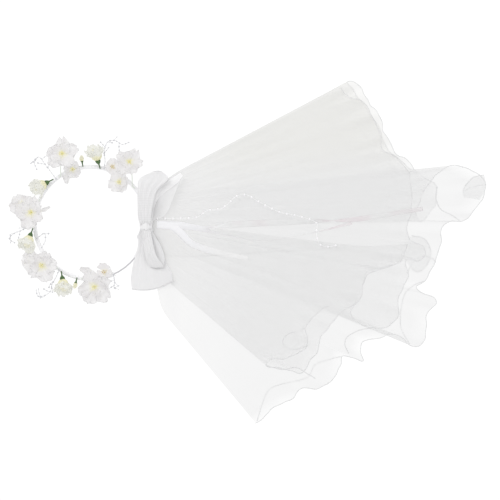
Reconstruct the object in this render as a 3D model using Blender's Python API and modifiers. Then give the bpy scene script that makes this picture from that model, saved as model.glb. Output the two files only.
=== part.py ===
# Flower crown with a two-tier bridal veil, laid flat. Metres, +Z up.
# The origin is the hoop's centre on the surface that it lies on. +X points along the veil.

import math

import bmesh
import bpy
from mathutils import Matrix, Vector

GAP = 0.0003                # between pieces that touch

# Hoop: a spring-steel ring inside a wound satin wrap with a flat underside
HOOP_RADIUS = 0.088         # to the middle of the wire
WIRE_RADIUS = 0.0011
WRAP_WIDTH = 0.0070
WRAP_HEIGHT = 0.0060
WRAP_CHAMFER = 0.0014
BARE_FROM_DEG = -65.0       # the wire shows bare between these two angles
BARE_TO_DEG = -38.0
HOOP_STEPS = 48             # flat lengths in a full ring

# Blossoms
PETAL_THICKNESS = 0.0010
CUP_FLAT = 0.30             # share of a blossom's radius that is flat, round its stamens
CUP_HEIGHT = 0.0085
PETAL_NOTCH = 0.24          # how deep the cut between two petals is, as a share of the radius
STAMEN_RADIUS = 0.0036
STAMEN_HEIGHT = 0.0052
GLUE_HEIGHT = 0.0012        # under the blossoms glued straight on the hoop
STEM_LIFT = 0.0133          # how much higher the blossoms on wire stems sit
STEM_RADIUS = 0.0007

# Rosebuds
BUD_RADIUS = 0.0100
BUD_LENGTH = 0.0195
CALYX_RADIUS = 0.0050
CALYX_LENGTH = 0.0060
CALYX_STEM = 0.0080
CALYX_STEM_RADIUS = 0.0009
SMALL_BUD_RADIUS = 0.0034
SMALL_BUD_LENGTH = 0.0095

SPRAY_RADIUS = 0.0005

# Veil
HINGE_FROM_HOOP = 0.0080    # from the middle of the hoop's wire out to the veil's fold line
HINGE_HEIGHT = 0.0020
HEADER_CLEARANCE = 0.0010   # from the fold line to the header
HEADER_LENGTH = 0.0150
HEADER_TOP = 0.036          # half widths along Y
HEADER_BOTTOM = 0.040
LONG_TIER_THICKNESS = 0.0080
SHORT_TIER_THICKNESS = 0.0067
VEIL_REACH = 0.5036         # from the header's far side to the furthest hem
VEIL_SPREAD = 0.5370        # across the hem, along Y
HEM_RADIUS = 0.0008

# Bow
KNOT_WIDTH = 0.0230         # along X
KNOT_LENGTH = 0.0180        # along Y, the way the hoop runs
KNOT_TOP = 0.0270
KNOT_WALL = 0.0021          # the outer leg, between the hoop and the veil
KNOT_INNER_WALL = 0.0056
BOW_LOW = 0.0010            # clearance between the bow's lowest loop and the veil
TAIL_THICKNESS = 0.0090
LOOP_THICKNESS = 0.0130
ORGANZA_THICKNESS = 0.0020

# Ribbons and pearl strand on the veil
RIBBON_WIDTH = 0.0105
RIBBON_THICKNESS = 0.0010
RIBBON_START = 0.0165       # from the middle of the hoop's wire
STRAND_RADIUS = 0.0012

HOOP_MIDDLE = WRAP_HEIGHT / 2
LOW_LEVEL = WRAP_HEIGHT + GLUE_HEIGHT + PETAL_THICKNESS
HIGH_LEVEL = LOW_LEVEL + STEM_LIFT
HEADER_X = HOOP_RADIUS + HINGE_FROM_HOOP + HEADER_CLEARANCE
TIER_X = HEADER_X + HEADER_LENGTH + GAP
SHORT_TIER_BASE = LONG_TIER_THICKNESS + GAP
VEIL_TOP = SHORT_TIER_BASE + SHORT_TIER_THICKNESS

# Angle round the hoop (degrees), distance out from its wire, radius, petals, on a stem?, tilt outwards
BLOSSOMS = (
    (111.7, 0.0270, 0.0260, 5, True, 14),
    (108.4, 0.0005, 0.0165, 5, False, 0),
    (68.5, 0.0066, 0.0115, 5, False, 0),
    (57.0, 0.0245, 0.0220, 5, True, 16),
    (54.9, -0.0098, 0.0140, 5, False, 0),
    (170.0, 0.0040, 0.0225, 6, True, 10),
    (165.5, 0.0236, 0.0160, 5, False, 0),
    (221.8, 0.0110, 0.0255, 6, True, 12),
    (212.9, 0.0230, 0.0160, 5, False, 0),
    (-85.4, 0.0115, 0.0265, 5, True, 12),
    (-74.0, -0.0080, 0.0110, 5, False, 0),
)
# How far round the hoop each stem starts from its blossom, degrees
STEM_LEAD = (10.5, -15.0, -12.0, 10.0, -11.5)

# Angle, distance out of the bud's base, height over the wrap, heading in degrees from +X, rise in degrees
ROSEBUDS = (
    (83.1, 0.0125, 0.0078, 112.0, 24.0),
    (139.4, 0.0060, 0.0092, 213.7, 25.0),
    (193.7, 0.0085, 0.0092, 246.0, 25.0),
    (-115.8, 0.0125, 0.0078, -72.0, 24.0),
)
SMALL_BUDS = (
    (97.5, 0.0090, 0.0025, 98.0, 4.0),
    (256.5, 0.0080, 0.0025, 254.0, 4.0),
)

# Wire sprays: (angle, millimetres out, millimetres over the wrap) along each
SPRAYS = (
    (
        (76, 0, 1.2), (76.8, 12.5, 3), (79, 26, 4), (78, 41, 6), (73.5, 46.5, 6), (68, 44.5, 5),
        (64.5, 51.5, 4),
    ),
    ((128, 0, 1.2), (127.8, 13, 3), (127.7, 28, 4), (127.8, 42.5, 5), (132.5, 42.5, 4), (135, 31, 3)),
    ((178, 0, 1.2), (182.4, 9, 1.4), (185.9, 19.5, 2), (187.7, 32, 3), (191, 41.5, 3), (194.6, 35, 2)),
    (
        (236, 0, 1.2), (237.6, 13, 2), (238, 25.5, 3), (239.7, 35, 3), (238.2, 45, 3), (234.5, 53, 3),
        (231, 47, 3),
    ),
    ((196, 0, 1.2), (194.4, -7, 2), (192.5, -14.5, 3), (201.5, -12, 3), (206.5, -3, 2.2)),
    ((-66.2, 0, 1.2), (-67.6, 11.5, 2), (-69.9, 19.5, 3), (-67, 25, 3)),
)

# Outlines of the veil's tiers as shares of VEIL_REACH (from TIER_X) and VEIL_SPREAD (from Y = 0),
# from the top edge's hem corner round to the bottom edge's hem corner
LONG_HEM = (
    (0.578, 0.4155), (0.600, 0.404), (0.638, 0.363), (0.682, 0.301), (0.697, 0.243), (0.732, 0.196),
    (0.767, 0.183), (0.800, 0.1655), (0.860, 0.170), (0.916, 0.1665), (0.985, 0.1405), (1.000, 0.094),
    (0.966, 0.053), (0.932, 0.006), (0.876, 0.000), (0.866, -0.032), (0.869, -0.076), (0.835, -0.158),
    (0.824, -0.193), (0.852, -0.222), (0.826, -0.266), (0.816, -0.3365), (0.782, -0.357), (0.738, -0.351),
    (0.672, -0.340), (0.628, -0.405), (0.565, -0.392), (0.545, -0.421), (0.488, -0.4797), (0.429, -0.4857),
    (0.404, -0.518), (0.339, -0.547), (0.295, -0.585),
)
LONG_TOP_EDGE = ((0.0, 0.0950), (0.020, 0.1346))
LONG_BOTTOM_EDGE = ((0.139, -0.4213), (0.0, -0.2200), (0.0, -0.1000))
SHORT_HEM = (
    (0.552, 0.372), (0.600, 0.352), (0.632, 0.345), (0.652, 0.307), (0.681, 0.272), (0.679, 0.242),
    (0.728, 0.190), (0.748, 0.128), (0.752, 0.062), (0.756, -0.004), (0.753, -0.064), (0.740, -0.114),
    (0.653, -0.167), (0.553, -0.225), (0.484, -0.328), (0.443, -0.3855), (0.388, -0.404), (0.334, -0.436),
)
SHORT_TOP_EDGE = ((0.0, 0.0700), (0.030, 0.1180))
SHORT_BOTTOM_EDGE = ((0.139, -0.343), (0.0, -0.1350), (0.0, -0.0700))

# Bow outlines, (distance from the hoop's wire along X, Y), clear of the knot
UPPER_LOOP = (
    (-0.006, None), (-0.0130, 0.021), (-0.0130, 0.042), (-0.0035, 0.067), (0.0170, 0.079),
    (0.0325, 0.072), (0.0290, 0.052), (0.0205, 0.030), (0.0105, None),
)
ORGANZA_LOOP = (
    (0.0120, 0.0120), (0.0250, 0.040), (0.0420, 0.0745), (0.0550, 0.0830), (0.0585, 0.0760),
    (0.0480, 0.0520), (0.0330, 0.0260), (0.0170, 0.0100),
)
LOWER_LOOP = (
    (0.0090, None), (0.0150, -0.026), (0.0270, -0.044), (0.0300, -0.060), (0.0270, -0.069),
    (0.0050, -0.0705), (-0.0160, -0.066), (-0.0200, -0.053), (-0.0130, -0.030), (-0.006, None),
)
BOW_TAIL = (
    (0.0060, -0.022), (0.0260, -0.046), (0.0330, -0.066), (0.0400, -0.088), (0.0300, -0.0965),
    (0.0060, -0.1060), (-0.0230, -0.1020), (-0.0240, -0.0830), (-0.0230, -0.0640), (-0.0110, -0.030),
)

# Ribbon routes, (distance from where the ribbons start, Y)
LONG_RIBBON = (
    (0.0, -0.0028), (0.032, -0.0040), (0.068, -0.0079), (0.109, -0.0039), (0.190, 0.0005),
    (0.304, 0.0047), (0.360, 0.0130), (0.415, 0.0220),
)
TWISTED_RIBBON = (
    (0.0, -0.0028), (0.045, -0.0060), (0.095, -0.0160), (0.163, -0.0280), (0.236, -0.0170),
    (0.304, -0.0005),
)
SHORT_RIBBON = (
    (0.0, -0.0028), (0.012, -0.0034), (0.024, -0.0052), (0.036, -0.0140), (0.056, -0.0330),
    (0.095, -0.0460), (0.142, -0.0550),
)
# Pearl strand: (distance from where the ribbons start, Y, over the ribbons?)
STRAND = (
    (0.0006, 0.0066, False), (0.010, 0.0066, False), (0.022, 0.0067, False), (0.040, 0.0070, False),
    (0.060, 0.0082, False), (0.069, 0.0125, False), (0.078, 0.0189, False), (0.090, 0.0207, False),
    (0.101, 0.0225, False), (0.111, 0.0298, False), (0.123, 0.0408, False), (0.136, 0.0440, False),
    (0.147, 0.0408, False), (0.156, 0.0346, False), (0.178, 0.0230, False), (0.192, 0.0165, False),
    (0.212, 0.0125, True), (0.230, 0.0080, True), (0.242, 0.0040, True), (0.250, -0.0020, True),
    (0.249, -0.0120, True), (0.250, -0.0230, True), (0.255, -0.0340, False), (0.266, -0.0372, False),
    (0.279, -0.0350, False),
)


def material(name, color, roughness, metallic=0.0, alpha=1.0):
    made = bpy.data.materials.new(name)
    made.use_nodes = True
    shader = made.node_tree.nodes["Principled BSDF"]
    shader.inputs["Base Color"].default_value = (*color, 1.0)
    shader.inputs["Roughness"].default_value = roughness
    shader.inputs["Metallic"].default_value = metallic
    shader.inputs["Alpha"].default_value = alpha
    return made


def add_object(name, data, made_of):
    data.materials.append(made_of)
    obj = bpy.data.objects.new(name, data)
    crown.objects.link(obj)
    return obj


def add_mesh(name, bm, made_of, smooth=True):
    mesh = bpy.data.meshes.new(name)
    bm.to_mesh(mesh)
    bm.free()
    if smooth:
        mesh.shade_smooth()
        mesh.set_sharp_from_angle(angle=math.radians(40))
    return add_object(name, mesh, made_of)


def polar(angle_deg, out, height=0.0):
    """A point at that angle round the hoop, that far out from its wire."""
    angle, reach = math.radians(angle_deg), HOOP_RADIUS + out
    return Vector((reach * math.cos(angle), reach * math.sin(angle), height))


def smooth_line(points, per_span):
    """Points on a Catmull-Rom curve through these, with that many steps to a span."""
    knots = [Vector(p) for p in points]
    ends = [2 * knots[0] - knots[1], *knots, 2 * knots[-1] - knots[-2]]
    line = []
    for before, a, b, after in zip(ends, ends[1:], ends[2:], ends[3:]):
        for step in range(per_span):
            t = step / per_span
            line.append(0.5 * (
                2 * a + (b - before) * t + (2 * before - 5 * a + 4 * b - after) * t * t
                + (3 * a - before - 3 * b + after) * t ** 3
            ))
    return [*line, knots[-1]]


def beside(line, distance):
    """The line moved that far to its left, in plan."""
    moved = []
    for i, point in enumerate(line):
        along = line[min(i + 1, len(line) - 1)] - line[max(i - 1, 0)]
        side = Vector((-along.y, along.x)).normalized() * distance
        moved.append(Vector((point.x + side.x, point.y + side.y)))
    return moved


def add_tube(name, line, radius, made_of, sides_level, cyclic=False):
    """A round wire, cord or rolled edge along the line."""
    curve = bpy.data.curves.new(name, "CURVE")
    curve.dimensions = "3D"
    curve.bevel_depth = radius
    curve.bevel_resolution = sides_level
    curve.use_fill_caps = not cyclic
    spline = curve.splines.new("POLY")
    spline.points.add(len(line) - 1)
    for point, place in zip(spline.points, line):
        point.co = (*place, 1.0)
    spline.use_cyclic_u = cyclic
    spline.use_smooth = True
    return add_object(name, curve, made_of)


def add_slab(name, outline, low, high, made_of):
    """A flat closed solid with that outline between two heights."""
    curve = bpy.data.curves.new(name, "CURVE")
    curve.dimensions = "2D"
    curve.fill_mode = "BOTH"
    curve.extrude = (high - low) / 2
    spline = curve.splines.new("POLY")
    spline.points.add(len(outline) - 1)
    for point, place in zip(spline.points, outline):
        point.co = (place[0], place[1], 0.0, 1.0)
    spline.use_cyclic_u = True
    obj = add_object(name, curve, made_of)
    obj.location.z = (low + high) / 2
    return obj


def add_turned(name, profile, steps, made_of):
    """A round solid about its own Z, from (radius, height) points, top to bottom."""
    bm = bmesh.new()
    points = [bm.verts.new((radius, 0.0, height)) for radius, height in profile]
    for a, b in zip(points, points[1:]):
        bm.edges.new((a, b))
    obj = add_mesh(name, bm, made_of)
    screw = obj.modifiers.new("Turn", "SCREW")
    screw.steps = screw.render_steps = steps
    screw.use_merge_vertices = True
    screw.merge_threshold = 0.00001
    screw.use_smooth_shade = True
    return obj


def aim(obj, place, heading_deg, rise_deg):
    """Puts the object's origin at place, its Z axis along that heading and rise."""
    obj.rotation_mode = "XYZ"
    obj.rotation_euler = (0.0, math.radians(90 - rise_deg), math.radians(heading_deg))
    obj.location = place


def hoop():
    steel = material("steel_wire", (0.62, 0.60, 0.62), 0.35, 1.0)
    ring = [
        Vector((HOOP_RADIUS * math.cos(a), HOOP_RADIUS * math.sin(a), HOOP_MIDDLE))
        for a in (math.tau * i / HOOP_STEPS for i in range(HOOP_STEPS))
    ]
    add_tube("hoop_wire", ring, WIRE_RADIUS, steel, 1, cyclic=True)

    # The wrap's section: a chamfered bar round an eight-sided bore, turned round the hoop
    half, edge = WRAP_WIDTH / 2, WRAP_WIDTH / 2 - WRAP_CHAMFER
    tall, rim = WRAP_HEIGHT / 2, WRAP_HEIGHT / 2 - WRAP_CHAMFER
    outer = (
        (half, -rim), (half, rim), (edge, tall), (-edge, tall),
        (-half, rim), (-half, -rim), (-edge, -tall), (edge, -tall),
    )
    # the faceted bore's flats stay clear of the wire
    bore = (WIRE_RADIUS + GAP) / math.cos(math.pi / 8)
    bm = bmesh.new()
    rings = []
    for section in (outer, [
        (bore * math.cos(a), bore * math.sin(a))
        for a in (math.radians(-22.5 + 45 * i) for i in range(8))
    ]):
        rings.append([bm.verts.new((HOOP_RADIUS + x, 0.0, HOOP_MIDDLE + z)) for x, z in section])
    for i in range(8):
        j = (i + 1) % 8
        bm.faces.new((rings[0][i], rings[0][j], rings[1][j], rings[1][i]))
    turned = 360.0 - (BARE_TO_DEG - BARE_FROM_DEG)
    bmesh.ops.rotate(bm, verts=bm.verts, matrix=Matrix.Rotation(math.radians(BARE_TO_DEG), 3, "Z"))
    bmesh.ops.spin(
        bm, geom=[*bm.faces, *bm.edges, *bm.verts], axis=(0, 0, 1), cent=(0, 0, 0),
        angle=math.radians(turned), steps=round(HOOP_STEPS * turned / 360), use_duplicate=False,
    )
    bmesh.ops.recalc_face_normals(bm, faces=bm.faces)
    add_mesh("hoop_wrap", bm, material("satin_wrap", (0.90, 0.89, 0.90), 0.45))


def petal_cup(name, radius, petals, made_of):
    """A shallow ruffled cup, its inner floor at Z = 0."""
    around = 4 * petals
    bm = bmesh.new()
    middle = bm.verts.new((0, 0, 0))
    rings = []
    for share in (CUP_FLAT, 0.66, 1.0):
        rise = CUP_HEIGHT * ((share - CUP_FLAT) / (1 - CUP_FLAT)) ** 1.4
        ring = []
        for i in range(around):
            angle = math.tau * i / around
            cleft = (1 - abs(math.sin(petals * angle / 2))) ** 1.5
            reach = radius * share * (1 - PETAL_NOTCH * cleft * share)
            ring.append(bm.verts.new((reach * math.cos(angle), reach * math.sin(angle), rise)))
        rings.append(ring)
    for i in range(around):
        j = (i + 1) % around
        bm.faces.new((middle, rings[0][i], rings[0][j]))
        for inner, outer in zip(rings, rings[1:]):
            bm.faces.new((inner[i], outer[i], outer[j], inner[j]))
    obj = add_mesh(name, bm, made_of)
    wall = obj.modifiers.new("Petal thickness", "SOLIDIFY")
    wall.thickness = PETAL_THICKNESS
    wall.offset = -1.0
    return obj


def stamen_dome(name, made_of):
    bm = bmesh.new()
    bmesh.ops.create_uvsphere(bm, u_segments=8, v_segments=5, radius=1.0)
    bmesh.ops.scale(bm, vec=(STAMEN_RADIUS, STAMEN_RADIUS, STAMEN_HEIGHT / 2), verts=bm.verts)
    bmesh.ops.translate(bm, vec=(0, 0, STAMEN_HEIGHT / 2 + GAP), verts=bm.verts)
    return add_mesh(name, bm, made_of)


def blossoms():
    cloth = material("petal_fabric", (0.90, 0.88, 0.90), 0.75)
    yellow = material("stamen_yellow", (0.85, 0.70, 0.20), 0.6)
    tape = material("stem_tape", (0.80, 0.84, 0.78), 0.7)
    leads = iter(STEM_LEAD)
    on_hoop = WRAP_HEIGHT + GAP + STEM_RADIUS
    for number, (angle, out, radius, petals, stemmed, tilt) in enumerate(BLOSSOMS, 1):
        level = HIGH_LEVEL if stemmed else LOW_LEVEL
        place = polar(angle, out, level)
        turn = (
            Matrix.Translation(place) @ Matrix.Rotation(math.radians(angle), 4, "Z")
            @ Matrix.Rotation(math.radians(tilt), 4, "Y")
        )
        name = f"blossom_{number:02d}"
        petal_cup(f"{name}_petals", radius, petals, cloth).matrix_world = turn
        stamen_dome(f"{name}_stamens", yellow).matrix_world = turn
        if stemmed:
            lead = next(leads)
            foot = turn @ Vector((0, 0, -(PETAL_THICKNESS + 2 * GAP)))
            line = smooth_line(
                (
                    polar(angle + lead * 1.25, 0, on_hoop), polar(angle + lead, 0, on_hoop + 0.0002),
                    polar(angle + lead * 0.55, out * 0.45, (on_hoop + foot.z) / 2 - 0.001),
                    foot - Vector((0, 0, 0.002)), foot,
                ), 3,
            )
            add_tube(f"{name}_stem", line, STEM_RADIUS, tape, 1)


def rosebuds():
    cream = material("bud_fabric", (0.92, 0.90, 0.80), 0.7)
    green = material("calyx_green", (0.16, 0.28, 0.12), 0.6)
    bud = (
        (0.0, BUD_LENGTH), (BUD_RADIUS * 0.40, BUD_LENGTH * 0.95), (BUD_RADIUS * 0.80, BUD_LENGTH * 0.72),
        (BUD_RADIUS, BUD_LENGTH * 0.44), (BUD_RADIUS * 0.80, BUD_LENGTH * 0.14), (BUD_RADIUS * 0.45, 0.0),
        (0.0, 0.0),
    )
    foot = -GAP - CALYX_LENGTH
    calyx = (
        (0.0, -GAP), (CALYX_RADIUS, -GAP), (CALYX_RADIUS * 0.85, -GAP - CALYX_LENGTH * 0.45),
        (CALYX_STEM_RADIUS, foot), (CALYX_STEM_RADIUS, foot - CALYX_STEM), (0.0, foot - CALYX_STEM),
    )
    for number, (angle, out, height, heading, rise) in enumerate(ROSEBUDS, 1):
        place = polar(angle, out, WRAP_HEIGHT + height)
        aim(add_turned(f"rosebud_{number}", bud, 10, cream), place, heading, rise)
        aim(add_turned(f"rosebud_{number}_calyx", calyx, 8, green), place, heading, rise)
    small = (
        (0.0, SMALL_BUD_LENGTH), (SMALL_BUD_RADIUS * 0.75, SMALL_BUD_LENGTH * 0.75),
        (SMALL_BUD_RADIUS, SMALL_BUD_LENGTH * 0.40), (CALYX_STEM_RADIUS, 0.0),
        (CALYX_STEM_RADIUS, -CALYX_STEM), (0.0, -CALYX_STEM),
    )
    for number, (angle, out, height, heading, rise) in enumerate(SMALL_BUDS, 1):
        place = polar(angle, out, WRAP_HEIGHT + height)
        aim(add_turned(f"small_bud_{number}", small, 8, cream), place, heading, rise)


def sprays():
    pearl = material("spray_pearl", (0.88, 0.87, 0.88), 0.35)
    for number, route in enumerate(SPRAYS, 1):
        points = [polar(angle, out / 1000, WRAP_HEIGHT + height / 1000) for angle, out, height in route]
        line = smooth_line(points, 3)
        add_tube(f"spray_{number}", line, SPRAY_RADIUS, pearl, 1)


def tier_line(shares):
    return [Vector((TIER_X + x * VEIL_REACH, y * VEIL_SPREAD)) for x, y in shares]


def veil_tier(name, top, hem, bottom, low, thickness, cloth, thread):
    """One tier of the veil as a flat solid, and the rolled edge that runs round its hem."""
    line = smooth_line(tier_line(hem), 2)
    outline = [*tier_line(top), *line, *tier_line(bottom)]
    add_slab(name, outline, low, low + thickness, cloth)
    edge = beside(line, HEM_RADIUS + 2 * GAP)
    add_tube(f"{name}_hem", [(*p, low + HEM_RADIUS) for p in edge], HEM_RADIUS, thread, 1)


def veil():
    cloth = material("veil_organza", (0.92, 0.92, 0.91), 0.6, alpha=0.5)
    thread = material("hem_thread", (0.86, 0.86, 0.86), 0.5)
    header = [
        (HEADER_X, HEADER_TOP - 0.006), (HEADER_X, -HEADER_BOTTOM + 0.006),
        (HEADER_X + 0.006, -HEADER_BOTTOM), (HEADER_X + HEADER_LENGTH, -HEADER_BOTTOM),
        (HEADER_X + HEADER_LENGTH, HEADER_TOP), (HEADER_X + 0.006, HEADER_TOP),
    ]
    add_slab("veil_header", header, 0.0, VEIL_TOP, cloth)
    veil_tier(
        "veil_long_tier", LONG_TOP_EDGE, LONG_HEM, LONG_BOTTOM_EDGE,
        0.0, LONG_TIER_THICKNESS, cloth, thread,
    )
    veil_tier(
        "veil_short_tier", SHORT_TOP_EDGE, SHORT_HEM, SHORT_BOTTOM_EDGE,
        SHORT_TIER_BASE, SHORT_TIER_THICKNESS, cloth, thread,
    )


def bow_outline(shares):
    """A bow piece's outline. None stands for the side of the knot that its end meets."""
    side = math.copysign(KNOT_LENGTH / 2 + GAP, shares[len(shares) // 2][1])
    points = [(HOOP_RADIUS + x, side if y is None else y) for x, y in shares]
    return smooth_line(points, 3)


def bow():
    cloth = material("bow_organza", (0.91, 0.91, 0.91), 0.5)
    # The knot straddles the hoop like a saddle, and its outer leg stops short of the veil
    bow_base = VEIL_TOP + BOW_LOW
    sagitta = HOOP_RADIUS - math.sqrt(HOOP_RADIUS ** 2 - (KNOT_LENGTH / 2) ** 2)
    slot_in = HOOP_RADIUS - WRAP_WIDTH / 2 - sagitta - 2 * GAP
    slot_out = HOOP_RADIUS + WRAP_WIDTH / 2 + 2 * GAP
    slot_top = WRAP_HEIGHT + 2 * GAP
    inside = slot_in - KNOT_INNER_WALL
    outside = inside + KNOT_WIDTH
    leg_foot = 0.001
    corner = 0.006
    profile = (
        (inside, leg_foot), (slot_in, leg_foot), (slot_in, slot_top), (slot_out, slot_top),
        (slot_out, leg_foot), (slot_out + KNOT_WALL, leg_foot), (slot_out + KNOT_WALL, bow_base),
        (outside, bow_base), (outside, KNOT_TOP - corner), (outside - corner, KNOT_TOP),
        (inside + corner, KNOT_TOP), (inside, KNOT_TOP - corner),
    )
    bm = bmesh.new()
    face = bm.faces.new([bm.verts.new((x, -KNOT_LENGTH / 2, z)) for x, z in profile])
    grown = bmesh.ops.extrude_face_region(bm, geom=[face])
    moved = [v for v in grown["geom"] if isinstance(v, bmesh.types.BMVert)]
    bmesh.ops.translate(bm, vec=(0, KNOT_LENGTH, 0), verts=moved)
    bmesh.ops.recalc_face_normals(bm, faces=bm.faces)
    add_mesh("bow_knot", bm, cloth)

    loop_base = bow_base + TAIL_THICKNESS + GAP
    add_slab("bow_tail", bow_outline(BOW_TAIL), bow_base, bow_base + TAIL_THICKNESS, cloth)
    add_slab("bow_lower_loop", bow_outline(LOWER_LOOP), loop_base, loop_base + LOOP_THICKNESS, cloth)
    organza_top = bow_base + ORGANZA_THICKNESS
    add_slab("bow_organza_loop", bow_outline(ORGANZA_LOOP), bow_base, organza_top, cloth)
    upper_base = organza_top + GAP
    add_slab("bow_upper_loop", bow_outline(UPPER_LOOP), upper_base, upper_base + LOOP_THICKNESS, cloth)


def ribbons():
    satin = material("satin_ribbon", (0.90, 0.88, 0.89), 0.3)
    pearl = material("pearl_strand", (0.90, 0.89, 0.89), 0.25)
    start = HOOP_RADIUS + RIBBON_START
    layer = RIBBON_THICKNESS + GAP
    base = VEIL_TOP + GAP
    for number, (name, route) in enumerate((
        ("ribbon_long", LONG_RIBBON), ("ribbon_twisted", TWISTED_RIBBON), ("ribbon_short", SHORT_RIBBON),
    )):
        line = smooth_line([(start + x, y) for x, y in route], 3)
        outline = [*beside(line, RIBBON_WIDTH / 2), *reversed(beside(line, -RIBBON_WIDTH / 2))]
        low = base + number * layer
        add_slab(name, outline, low, low + RIBBON_THICKNESS, satin)
    over = 3 * layer
    route = [
        (start + x, y, base + STRAND_RADIUS + (over if raised else 0.0)) for x, y, raised in STRAND
    ]
    add_tube("pearl_strand", smooth_line(route, 3), STRAND_RADIUS, pearl, 2)


for old in list(bpy.data.objects):
    bpy.data.objects.remove(old)
crown = bpy.data.collections.new("flower_crown")
bpy.context.scene.collection.children.link(crown)
hoop()
blossoms()
rosebuds()
sprays()
veil()
bow()
ribbons()
bpy.context.view_layer.update()
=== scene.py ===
import random
from math import atan2, copysign, cos, exp, hypot, pi, radians, sin, sqrt, tan, tau

import bpy
import numpy as np
from mathutils import Matrix, Vector


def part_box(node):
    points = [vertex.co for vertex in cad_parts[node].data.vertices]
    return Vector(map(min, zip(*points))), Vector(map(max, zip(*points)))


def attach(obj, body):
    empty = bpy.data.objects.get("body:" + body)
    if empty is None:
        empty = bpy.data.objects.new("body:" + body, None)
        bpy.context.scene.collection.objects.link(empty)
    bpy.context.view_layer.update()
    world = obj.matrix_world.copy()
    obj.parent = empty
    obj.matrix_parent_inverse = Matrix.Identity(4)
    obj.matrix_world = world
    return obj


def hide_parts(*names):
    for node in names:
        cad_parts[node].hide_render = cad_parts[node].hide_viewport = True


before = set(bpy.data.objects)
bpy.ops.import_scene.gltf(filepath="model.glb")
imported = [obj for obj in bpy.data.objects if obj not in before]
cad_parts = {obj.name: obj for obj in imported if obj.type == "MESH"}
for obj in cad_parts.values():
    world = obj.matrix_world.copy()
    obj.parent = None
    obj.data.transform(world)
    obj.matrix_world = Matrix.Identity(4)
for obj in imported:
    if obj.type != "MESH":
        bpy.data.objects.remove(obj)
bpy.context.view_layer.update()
wireRadius = 0.0011
hoopLow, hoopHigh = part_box("hoop_wire")
hoopRadius = (hoopHigh.x - hoopLow.x) / 2 - wireRadius      # to the middle of the wire
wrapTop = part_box("hoop_wrap")[1].z
headerLow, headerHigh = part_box("veil_header")


# small tools for node trees, lines and meshes

class Wire:
    # an output socket that takes part in Python arithmetic
    def __init__(self, board, node, outlet=0):
        self.board = board
        self.node = node
        self.socket = node.outputs[outlet] if len(node.outputs) else None

    def outlet(self, name):
        return Wire(self.board, self.node, name)

    def math(self, operation, other=0.0, mirrored=False):
        pair = (other, self) if mirrored else (self, other)
        return self.board.add("ShaderNodeMath", {"operation": operation}, {0: pair[0], 1: pair[1]})

    def __add__(self, other):
        return self.math("ADD", other)

    def __radd__(self, other):
        return self.math("ADD", other, True)

    def __sub__(self, other):
        return self.math("SUBTRACT", other)

    def __rsub__(self, other):
        return self.math("SUBTRACT", other, True)

    def __mul__(self, other):
        return self.math("MULTIPLY", other)

    def __rmul__(self, other):
        return self.math("MULTIPLY", other, True)

    def wave(self):
        # a sine that runs between 0 and 1
        return self.math("SINE") * 0.5 + 0.5

    def held(self):
        # kept between 0 and 1
        return self.board.add("ShaderNodeClamp", {}, {"Value": self})


class Board:
    # a node tree that is filled one node at a time
    def __init__(self, tree):
        self.tree = tree

    def add(self, kind, settings=None, sockets=None, outlet=0):
        made = self.tree.nodes.new(kind)
        for name, value in (settings or {}).items():
            setattr(made, name, value)
        for key, value in (sockets or {}).items():
            self.feed(made.inputs[key], value)
        return Wire(self, made, outlet)

    def grow(self, kind, **sockets):
        # a geometry node; the underscores in a socket's name stand for spaces
        sockets = {name.replace("_", " "): value for name, value in sockets.items()}
        return self.add(f"GeometryNode{kind}", {}, sockets)

    def feed(self, socket, value):
        if isinstance(value, Wire):
            self.tree.links.new(value.socket, socket)
        elif socket.type == "RGBA":
            socket.default_value = (*value, 1.0)
        else:
            socket.default_value = value

    def mixColour(self, share, first, second):
        return self.add("ShaderNodeMix", {"data_type": "RGBA"}, {0: share, 6: first, 7: second}, outlet=2)


class Finish(Board):
    # a material with one Principled shader
    def __init__(self, name, **sockets):
        self.material = bpy.data.materials.new(name)
        self.material.use_nodes = True
        super().__init__(self.material.node_tree)
        self.shader = self.tree.nodes["Principled BSDF"]
        places = self.add("ShaderNodeTexCoord")
        self.place = places.outlet("Object")
        self.cut = places.outlet("UV")      # in metres on cloth
        self.set(sockets)

    def set(self, sockets):
        for key, value in sockets.items():
            self.feed(self.shader.inputs[key], value)

    def noise(self, scale, detail=2.0):
        sockets = {"Vector": self.place, "Scale": scale, "Detail": detail}
        return self.add("ShaderNodeTexNoise", {}, sockets)

    def bump(self, height, depth, strength):
        return self.add("ShaderNodeBump", {}, {"Strength": strength, "Distance": depth, "Height": height})

    def seeThrough(self, surface, cover):
        # cover is how much of what lies behind is hidden
        clear = self.add("ShaderNodeBsdfTransparent")
        mixed = self.add("ShaderNodeMixShader", {}, {0: cover, 1: clear})
        self.tree.links.new(surface, mixed.node.inputs[2])
        self.feed(self.tree.nodes["Material Output"].inputs["Surface"], mixed)

    def letLightThrough(self, share, colour, cover):
        # cloth that glows when lit from behind
        behind = self.add("ShaderNodeBsdfTranslucent", {}, {"Color": colour})
        glowing = self.add("ShaderNodeMixShader", {}, {0: share, 2: behind})
        self.tree.links.new(self.shader.outputs[0], glowing.node.inputs[1])
        self.seeThrough(glowing.socket, cover)

    def halves(self, place):
        # X and Y of the place, or across and along for the cut
        split = self.add("ShaderNodeSeparateXYZ", {}, {0: place})
        return split, split.outlet("Y")


def throughPoints(points, steps):
    # a smooth line through the points, with that many steps between two of them
    knots = np.array(points, float)
    ends = np.vstack([2 * knots[0] - knots[1], knots, 2 * knots[-1] - knots[-2]])
    line = []
    for before, a, b, after in zip(ends, ends[1:], ends[2:], ends[3:]):
        for t in np.arange(steps) / steps:
            line.append(0.5 * (
                2 * a + (b - before) * t + (2 * before - 5 * a + 4 * b - after) * t ** 2
                + (3 * a - before - 3 * b + after) * t ** 3
            ))
    return np.array([*line, knots[-1]])


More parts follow.
